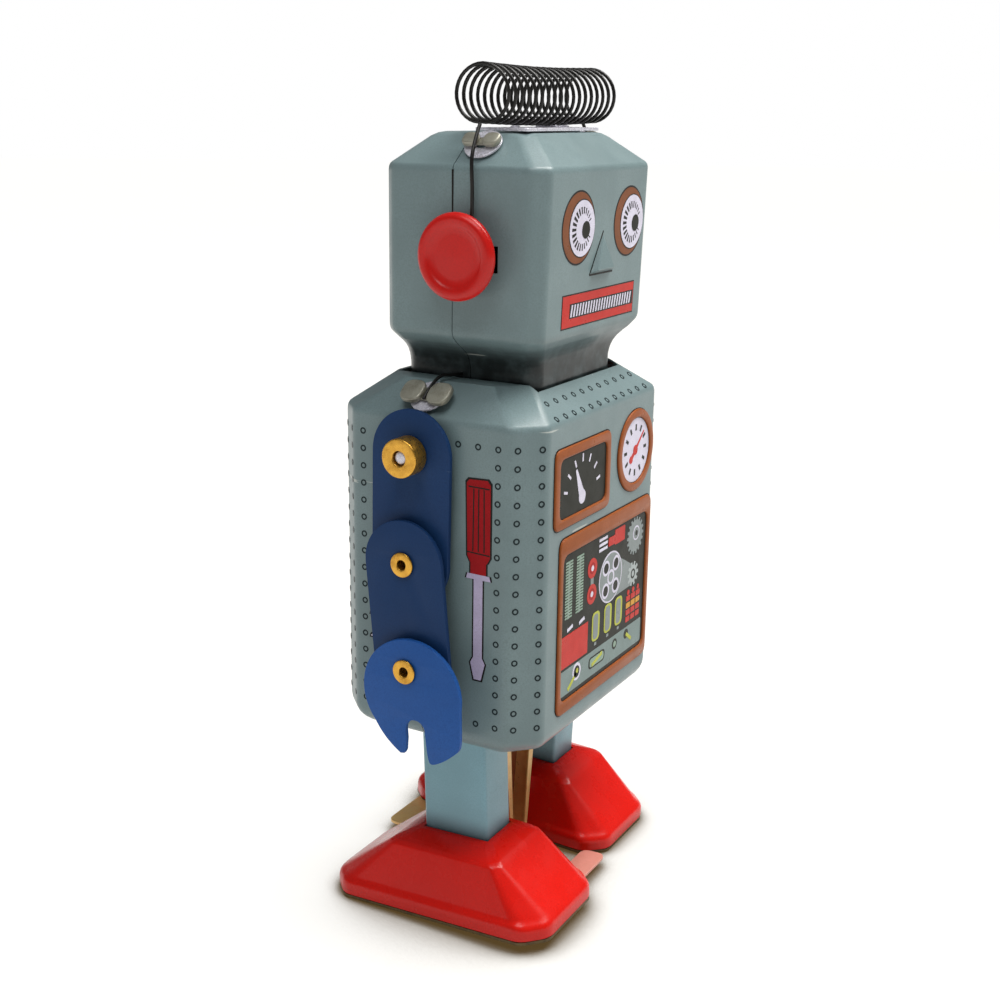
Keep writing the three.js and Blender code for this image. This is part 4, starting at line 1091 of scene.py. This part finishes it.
def engine_upper(art):
    rows = 20
    for left, right in ((-21.7, -18.1), (-16.1, -12.4)):
        art.box(left + 1.4, right - 1.4, 75.4, 89.5, STEEL_GREY, 3)
        for k in range(rows):
            z = 75.6 + 14.2 * k / rows
            art.box(left, right, z, z + 0.42, COIL_GREEN, 4)
    for z in (84.4, 77.9):
        art.disc(-7.6, z, 2.5, RED, 4)
        art.ring(-7.6, z, 1.0, 1.4, DEEP_RED, 5)
        art.disc(-7.6, z, 0.7, WHITE, 5)
    art.box(-8.4, -6.8, 80.2, 82.2, STEEL_GREY, 3)
    art.shape([(4.2, 84.9), (15.6, 79.0), (15.6, 73.6), (4.2, 73.4)], STEEL_GREY, 3)
    u, v = 2.8, 79.3
    art.stack(u, v, 4, (6.5, WHITE), (6.1, STEEL_GREY), steps=48)
    for du, dv in ((0, 0), (-2.8, 2.9), (2.8, 2.9), (-2.8, -2.9), (2.8, -2.9)):
        art.stack(u + du, v + dv, 6, (1.95, WHITE), (1.3, DIAL if du else STEEL_GREY))
    art.shape(gear_outline(16.2, 76.4, 2.3, 3.2, 10), PALE_GREY, 4)
    art.ring(16.2, 76.4, 0.8, 1.3, DIAL, 5)
    art.shape(gear_outline(16.8, 86.3, 4.1, 4.9, 18), STEEL_GREY, 4)
    art.stack(17.3, 86.9, 5, (1.9, WHITE), (1.5, STEEL_GREY), (0.7, DIAL))
    art.box(1.0, 5.0, 87.4, 89.6, RED, 5, 0.3)
    art.box(4.6, 10.4, 87.0, 90.8, RED, 4, 0.4)
    for k in range(3):
        art.box(-4.2, 0.4, 87.3 + 1.3 * k, 88.0 + 1.3 * k, WHITE, 4)


def engine_lower(art):
    for left in (-6.9, -0.1, 6.1):
        art.box(left, left + 4.2, 65.2, 72.6, YELLOW, 4, 1.6)
        art.box(left + 0.6, left + 3.3, 65.7, 72.1, STEEL_GREY, 5, 1.2)
        art.box(left + 1.5, left + 2.7, 64.0, 64.7, STEEL_GREY, 4)
    for column in range(3):
        u = 12.7 + 2.9 * column
        for k, colour in enumerate((RED, RED, AMBER, RED)):
            art.box(u, u + 2.4, 64.2 + 1.85 * k, 65.6 + 1.85 * k, colour, 4, 0.3)
        art.disc(u + 1.2, 72.0, 0.7, RED, 4)
    art.box(-23.3, -9.2, 63.6, 71.5, RED, 4)
    for u in (-18.8, -12.6):
        art.bar((u - 1.4, 72.5), (u + 1.4, 73.1), 0.8, WHITE, 4)
    art.box(-23.3, 22.2, 56.6, 62.9, STRIP_GREY, 3, 0.5)
    art.bar((-14.9, 60.3), (-19.2, 57.4), 0.9, YELLOW, 5)
    art.stack(-14.7, 60.6, 4, (2.2, WHITE), (1.5, DIAL))
    art.disc(-14.5, 60.8, 0.6, YELLOW, 6)
    art.box(-8.2, 0.8, 58.5, 61.5, DIAL, 4, 1.4)
    art.box(-7.6, 0.2, 58.9, 61.1, COIL_GREEN, 5, 1.1)
    art.bar((-6.6, 59.3), (-0.8, 60.8), 0.9, YELLOW, 6)
    art.stack(6.5, 60.6, 4, (1.4, DIAL), (0.8, COIL_GREEN))
    art.disc(13.3, 61.1, 1.3, DIAL, 4)
    art.bar((13.3, 61.1), (16.4, 58.9), 0.9, YELLOW, 5)


def make_engine_panel():
    art = Print(FRONT, [BLACK, DIAL, STEEL_GREY, PALE_GREY, COIL_GREEN, WHITE, RED, DEEP_RED,
                        YELLOW, AMBER, STRIP_GREY])
    low, high, side = 52.3, 95.6, 25.2
    art.box(-side - 0.3, side + 0.3, low - 0.3, high + 0.3, BLACK, 0, 3.0)
    art.box(-23.5, 23.5, 55.3, 91.6, BLACK, 1, 2.6)
    art.box(-23.1, 23.1, 55.8, 91.2, DIAL, 2, 2.4)
    engine_upper(art)
    engine_lower(art)
    art.done("engine_panel_print")
    raised_frame("engine_panel_frame", rectangle(-side, side, low, high, 2.8),
                 rectangle(-23.4, 23.4, 55.4, 91.5, 2.5))


FACE_TILT = math.atan2(JAW_DRAFT, BROW_Z - JAW_BEND_Z)


def face_place(shift):
    """The face leans back towards the jaw; local v is the height, measured along the face."""
    up = Vector((0, -math.sin(FACE_TILT), math.cos(FACE_TILT)))
    out = Vector((0, -math.cos(FACE_TILT), -math.sin(FACE_TILT)))
    origin = Vector((shift, HEAD_LOW.y + JAW_DRAFT, JAW_BEND_Z)) - up * JAW_BEND_Z
    return basis(origin, X, up, out)


def make_face():
    art = Print(face_place(FACE_SHIFT), [BLACK, EYE_BROWN, WHITE, DIAL, RED])
    for u in (-13.1, 13.3):
        art.stack(u, 164.3, 0, (8.2, BLACK), (7.8, EYE_BROWN), steps=64)
        art.disc(u + 1.6, 164.1, 6.45, BLACK, 2, 56)
        art.disc(u + 1.7, 164.1, 6.2, WHITE, 3, 56)
        for k in range(24):
            angle = 2 * math.pi * k / 24
            side = math.cos(angle)
            bold = 1.0 - 0.45 * side
            if side < 0.9:
                art.ray(u + 2.1, 164, angle, 3.3 - 0.2 * side, 3.3 + 1.5 * bold,
                        0.36 * bold, BLACK, 4, 0.52 * bold)
        art.disc(u + 3.5, 163.7, 1.95, DIAL, 5)
    art.box(-19.3, 18.7, 142.2, 149.9, BLACK, 0)
    art.box(-19.0, 18.4, 142.5, 149.6, RED, 1)
    art.box(-15.5, 18.1, 144.4, 147.7, BLACK, 2)
    teeth = 23
    for k in range(teeth):
        u = -15.1 + 32.4 * k / teeth
        art.shape([(u, 144.7), (u + 0.72, 144.7), (u + 1.25, 147.4), (u + 0.55, 147.4)], WHITE, 3)
    art.done("face_print")


def make_nose():
    """A pressed three-sided nose with an inked edge."""
    place = face_place(FACE_SHIFT - 0.2)
    top, left, right = (0, 162.4), (-5.7, 153.5), (5.7, 153.5)
    rise = 1.5
    base = [Vector((*corner, -0.1)) for corner in (top, left, right)]
    crest = [Vector((0, 161.6, 0.15)), Vector((-4.3, 154.3, rise)), Vector((4.3, 154.3, rise))]
    build = Build()
    points = [place @ p for p in base + crest]
    build.add(points, [[0, 2, 1], [3, 4, 5], [0, 1, 4, 3], [1, 2, 5, 4], [2, 0, 3, 5]])
    obj = as_object("nose_relief", build, [BODY_PAINT], 25)
    bevel = obj.modifiers.new("soft", "BEVEL")
    bevel.width = 0.35 * MM
    bevel.segments = 3
    settle(obj, 50)
    place_piece(obj, "trunk", "body_grey")
    art = Print(place, [BLACK])
    art.bar((0, 162.9), (-6.1, 153.3), 0.42, BLACK, 0)
    art.bar((-6.1, 153.3), (6.0, 153.3), 0.42, BLACK, 0)
    art.done("nose_outline_print")


def make_seam_shadow(side, s):
    """The open lap of the head seam above the ear, drawn as a black strip of painted shade."""
    art = Print(panel_place(s, HEAD_HIGH.x), [BLACK])
    ear = box(f"ear_{side}")[1].z
    art.bar((HEAD_SEAM_Y, ear - 2), (HEAD_SEAM_Y, BROW_Z - 0.6), 0.34, BLACK, 0, 0.5)
    art.done(f"head_seam_painted_shade_{side}")


def make_screwdriver(side, s):
    art = Print(panel_place(s, BODY_HIGH.x), [BLACK, DEEP_RED, LAVENDER])
    mid = -12.2

    def outline(points, spread):
        grown = []
        for u, v in points:
            rise = spread if v > 100 else -spread if v < 66 else 0
            grown.append((mid + u + math.copysign(spread, u), v + rise))
        return grown

    handle = [(-3.0, 93), (-3.0, 109.8), (-2.2, 110.8), (2.4, 110.6), (3.1, 109.8), (2.8, 93),
              (2.1, 91.6), (-2.2, 91.6)]
    neck = [(-2.0, 88.6), (-2.0, 92), (2.0, 92), (2.0, 88.6)]
    collar = [(-3.2, 87.6), (-2.9, 88.8), (2.8, 88.9), (3.1, 87.7)]
    blade = [(-1.15, 87.8), (1.15, 87.8), (1.15, 69), (1.9, 67.6), (0.9, 63.6), (-0.9, 63.6),
             (-1.9, 67.6), (-1.15, 69)]
    parts = ((blade, LAVENDER, 1), (neck, DEEP_RED, 2), (collar, LAVENDER, 3),
             (handle, DEEP_RED, 3))
    for points, colour, layer in parts:
        art.shape(outline(points, 0.38), BLACK, layer - 1)
        art.shape(outline(points, 0), colour, layer)
    for u in (-1.5, 0.0, 1.4):
        art.bar((mid + u, 94.2), (mid + u * 0.9, 108.6), 0.3, BLACK, 4)
    art.bar((mid - 2.9, 93.6), (mid + 2.8, 93.9), 0.3, BLACK, 4)
    art.bar((mid - 2.7, 108.9), (mid + 2.6, 109.0), 0.3, BLACK, 4)
    art.done(f"screwdriver_print_{side}")


def make_saw(side, s):
    """A printed saw blade, mostly behind the arm, with its teeth to the rear."""
    art = Print(panel_place(s, BODY_HIGH.x), [BLACK, WHITE])
    pitch, root, tip = 5.7, 12.4, 17.1
    for spread, colour, layer in ((0.35, BLACK, 0), (0.0, WHITE, 1)):
        for k in range(4):
            low = 91.4 - pitch * (k + 1)
            tooth = [(root - spread, low - spread), (tip + spread, low - spread),
                     (tip + spread * 0.3, low + spread * 1.6), (root - spread, low + 4.9 + spread)]
            art.shape(tooth, colour, layer)
    for spread, colour, layer in ((0.35, BLACK, 2), (0.0, WHITE, 3)):
        art.box(7.6 - spread, root + spread * 0.2, 68 - spread, 92 + spread, colour, layer)
    art.done(f"saw_print_{side}")


DOT_OUTER, DOT_INNER, DOT_TOP, DOT_BOTTOM, DOT_ROWS = 0.78, 0.42, 118.1, 52.6, 17
ENDS = (("front", BODY_LOW.y, -1), ("back", BODY_HIGH.y, 1))


def dot(art, u, v):
    art.ring(u, v, DOT_INNER, DOT_OUTER, DOT_INK, 0, 14)


def dot_heights():
    step = (DOT_TOP - DOT_BOTTOM) / (DOT_ROWS - 1)
    return [DOT_BOTTOM + step * k for k in range(DOT_ROWS)]


def make_side_dots(side, s):
    art = Print(panel_place(s, BODY_HIGH.x), [DOT_INK])
    front, back, across = -16.9, 18.6, 8
    for v in dot_heights():
        dot(art, front, v)
        dot(art, back, v)
    for k in range(1, across - 1):
        u = front + (back - front) * k / (across - 1)
        dot(art, u, DOT_TOP)
        dot(art, u, DOT_BOTTOM)
    art.done(f"side_dots_{side}")


def make_corner_dots(side, s):
    half = BODY_CORNER / 2
    for end, y, sign in ENDS:
        origin = (s * (BODY_HIGH.x - half), y - sign * half, 0)
        along = Vector((s, -sign, 0)).normalized()
        out = Vector((s, sign, 0)).normalized()
        art = Print(basis(origin, along, Z, out), [DOT_INK])
        for v in dot_heights():
            dot(art, 2.6, v)
            dot(art, -3.0, v)
        art.done(f"corner_dots_{end}_{side}")


def make_roof_dots():
    for end, y, sign in ENDS:
        up = Vector((0, -sign * math.cos(ROOF_LEAN), math.sin(ROOF_LEAN)))
        out = Vector((0, sign * math.sin(ROOF_LEAN), math.cos(ROOF_LEAN)))
        art = Print(basis((0, y, EAVES), X, up, out), [DOT_INK])
        for v, start, count in ((1.2, -23.6, 12), (5.6, -22.0, 11)):
            for k in range(count):
                dot(art, start + 2 * abs(start) * k / (count - 1), v)
        art.done(f"roof_dots_{end}")


def make_back_dots():
    art = Print(basis((0, BODY_HIGH.y, 0), (-1, 0, 0), Z, Y), [DOT_INK, BLACK, BROWN])
    half, spaces = 25.4, 10
    for u in (-half, half):
        for v in dot_heights():
            dot(art, u, v)
    for k in range(1, spaces):
        u = -half + 2 * half * k / spaces
        dot(art, u, DOT_TOP)
        dot(art, u, DOT_BOTTOM)
    key = middle("winding_key")
    art.ring(0, key.z, 6.2, 8.4, BLACK, 0, 56)
    art.ring(0, key.z, 6.5, 8.1, BROWN, 1, 56)
    art.done("back_print")


# ---- carried-over CAD nodes ----
def dress_inside():
    steel = ("motor_front_plate", "motor_back_plate", "motor_pillar_low_right",
             "motor_pillar_low_left", "motor_pillar_high_right", "motor_pillar_high_left",
             "hip_axle", "winding_arbor", "ratchet_wheel", "click", "drive_arbor", "crank_shaft")
    finishes = {name: INSIDE_STEEL for name in steel}
    finishes.update({"great_wheel": BRASS, "crown_wheel": BRASS, "mainspring": SPRING_STEEL})
    for name, material in finishes.items():
        mesh = frame["nodes"][name].data
        mesh.materials.clear()
        mesh.materials.append(material)


# ---- floor, light and camera ----
def make_floor():
    floor = Build()
    size = 6000.0
    corners = [(x, y, 0) for x, y in rectangle(-size, size, -size, size)]
    floor.add(corners, [[0, 1, 2, 3]])
    n = Nodes("pale_floor")
    # The floor glows evenly white; near the robot the glow fades to brown by ambient occlusion: a
    # painted contact shadow.
    contact_shadow_ao = n.node("AmbientOcclusion", [("samples", 8)], Distance=0.03)
    painted_shadow_openness = n.spread(contact_shadow_ao.outputs["AO"], 0.5, 0.995)
    cloud = n.spread(n.noise(6, 2), 0.3, 0.7)
    n.set(Roughness=0.7, Specular_IOR_Level=0.1, Emission_Strength=1.0,
          Emission_Color=n.mix(painted_shadow_openness, rgb(84, 66, 36), rgb(255, 254, 251)),
          Base_Color=n.mix(cloud, rgb(92, 90, 86), rgb(98, 96, 92)))
    obj = as_object("floor", floor, [n.material])


def make_backdrop():
    """A plain white tent around everything; it is a background and lights nothing."""
    dome = Build()
    profile = [(0, -4900)] + arc(0, 0, 5000, -70, 80, 15) + [(0, 5000)]
    lathe(dome, profile, FLAT, 32)
    n = Nodes("white_tent")
    n.set(Emission_Strength=1.0, Roughness=1.0, Specular_IOR_Level=0.0,
          Base_Color=(0.0, 0.0, 0.0, 1.0), Emission_Color=(1.0, 1.0, 1.0, 1.0))
    obj = as_object("backdrop", dome, [n.material], 180)
    obj.visible_diffuse = obj.visible_glossy = False
    obj.visible_transmission = obj.visible_shadow = False


def softbox(name, place, target, size, power, colour):
    lamp = bpy.data.lights.new(name, "AREA")
    lamp.shape = "DISK"
    lamp.size = size
    lamp.energy = power
    lamp.color = colour
    holder = bpy.data.objects.new(name, lamp)
    bpy.context.scene.collection.objects.link(holder)
    holder.location = place
    holder.rotation_euler = (Vector(target) - Vector(place)).to_track_quat("-Z", "Y").to_euler()


def make_lights():
    world = bpy.data.worlds.new("studio")
    world.use_nodes = True
    sky = world.node_tree.nodes["Background"].inputs
    sky["Color"].default_value = (0.97, 0.99, 1.0, 1.0)
    sky["Strength"].default_value = 0.16
    bpy.context.scene.world = world
    softbox("key", (0.36, -0.36, 1.06), (0, 0, 0.12), 0.75, 18.0, (1.0, 0.99, 0.96))
    softbox("left_top", (-0.45, -0.1, 1.05), (0, 0, 0.12), 0.6, 4.6, (0.97, 0.99, 1.0))


def make_camera():
    """The photo's own view, solved from points on the robot."""
    azimuth, elevation, roll = (math.radians(a) for a in (-60.72, 15.4, 0.8))
    place = Vector((-296.26, -163.98 + TRUNK_Y, 189.45)) * MM
    level_back = Vector((math.sin(azimuth), -math.cos(azimuth), 0))
    back = level_back * math.cos(elevation) + Vector((0, 0, math.sin(elevation)))
    right = Vector((math.cos(azimuth), math.sin(azimuth), 0))
    up = back.cross(right)
    level = right * math.cos(roll) + up * math.sin(roll)
    upright = up * math.cos(roll) - right * math.sin(roll)
    camera = bpy.data.cameras.new("camera")
    camera.lens = 51.19
    camera.sensor_width = 36
    holder = bpy.data.objects.new("camera", camera)
    bpy.context.scene.collection.objects.link(holder)
    turn = Matrix((level, upright, back)).transposed().to_4x4()
    holder.matrix_world = Matrix.Translation(place) @ turn
    bpy.context.scene.camera = holder


make_camera()
make_body()
make_head()
make_ears()
make_spring()
make_antenna_plate()
make_clips()
make_wires()
for side_name, sign_x in SIDES:
    make_arm(side_name, sign_x)
for side_name, sign_x in SIDES:
    for make in (make_leg, make_foot, make_sole, make_screwdriver, make_saw, make_seam_shadow,
                 make_side_dots, make_corner_dots):
        make(side_name, sign_x)
make_strut()
make_key()
make_square_gauge()
make_round_gauge()
make_engine_panel()
make_face()
make_nose()
make_roof_dots()
make_back_dots()
dress_inside()
make_floor()
make_backdrop()
make_lights()
bpy.context.scene.view_settings.view_transform = "Standard"
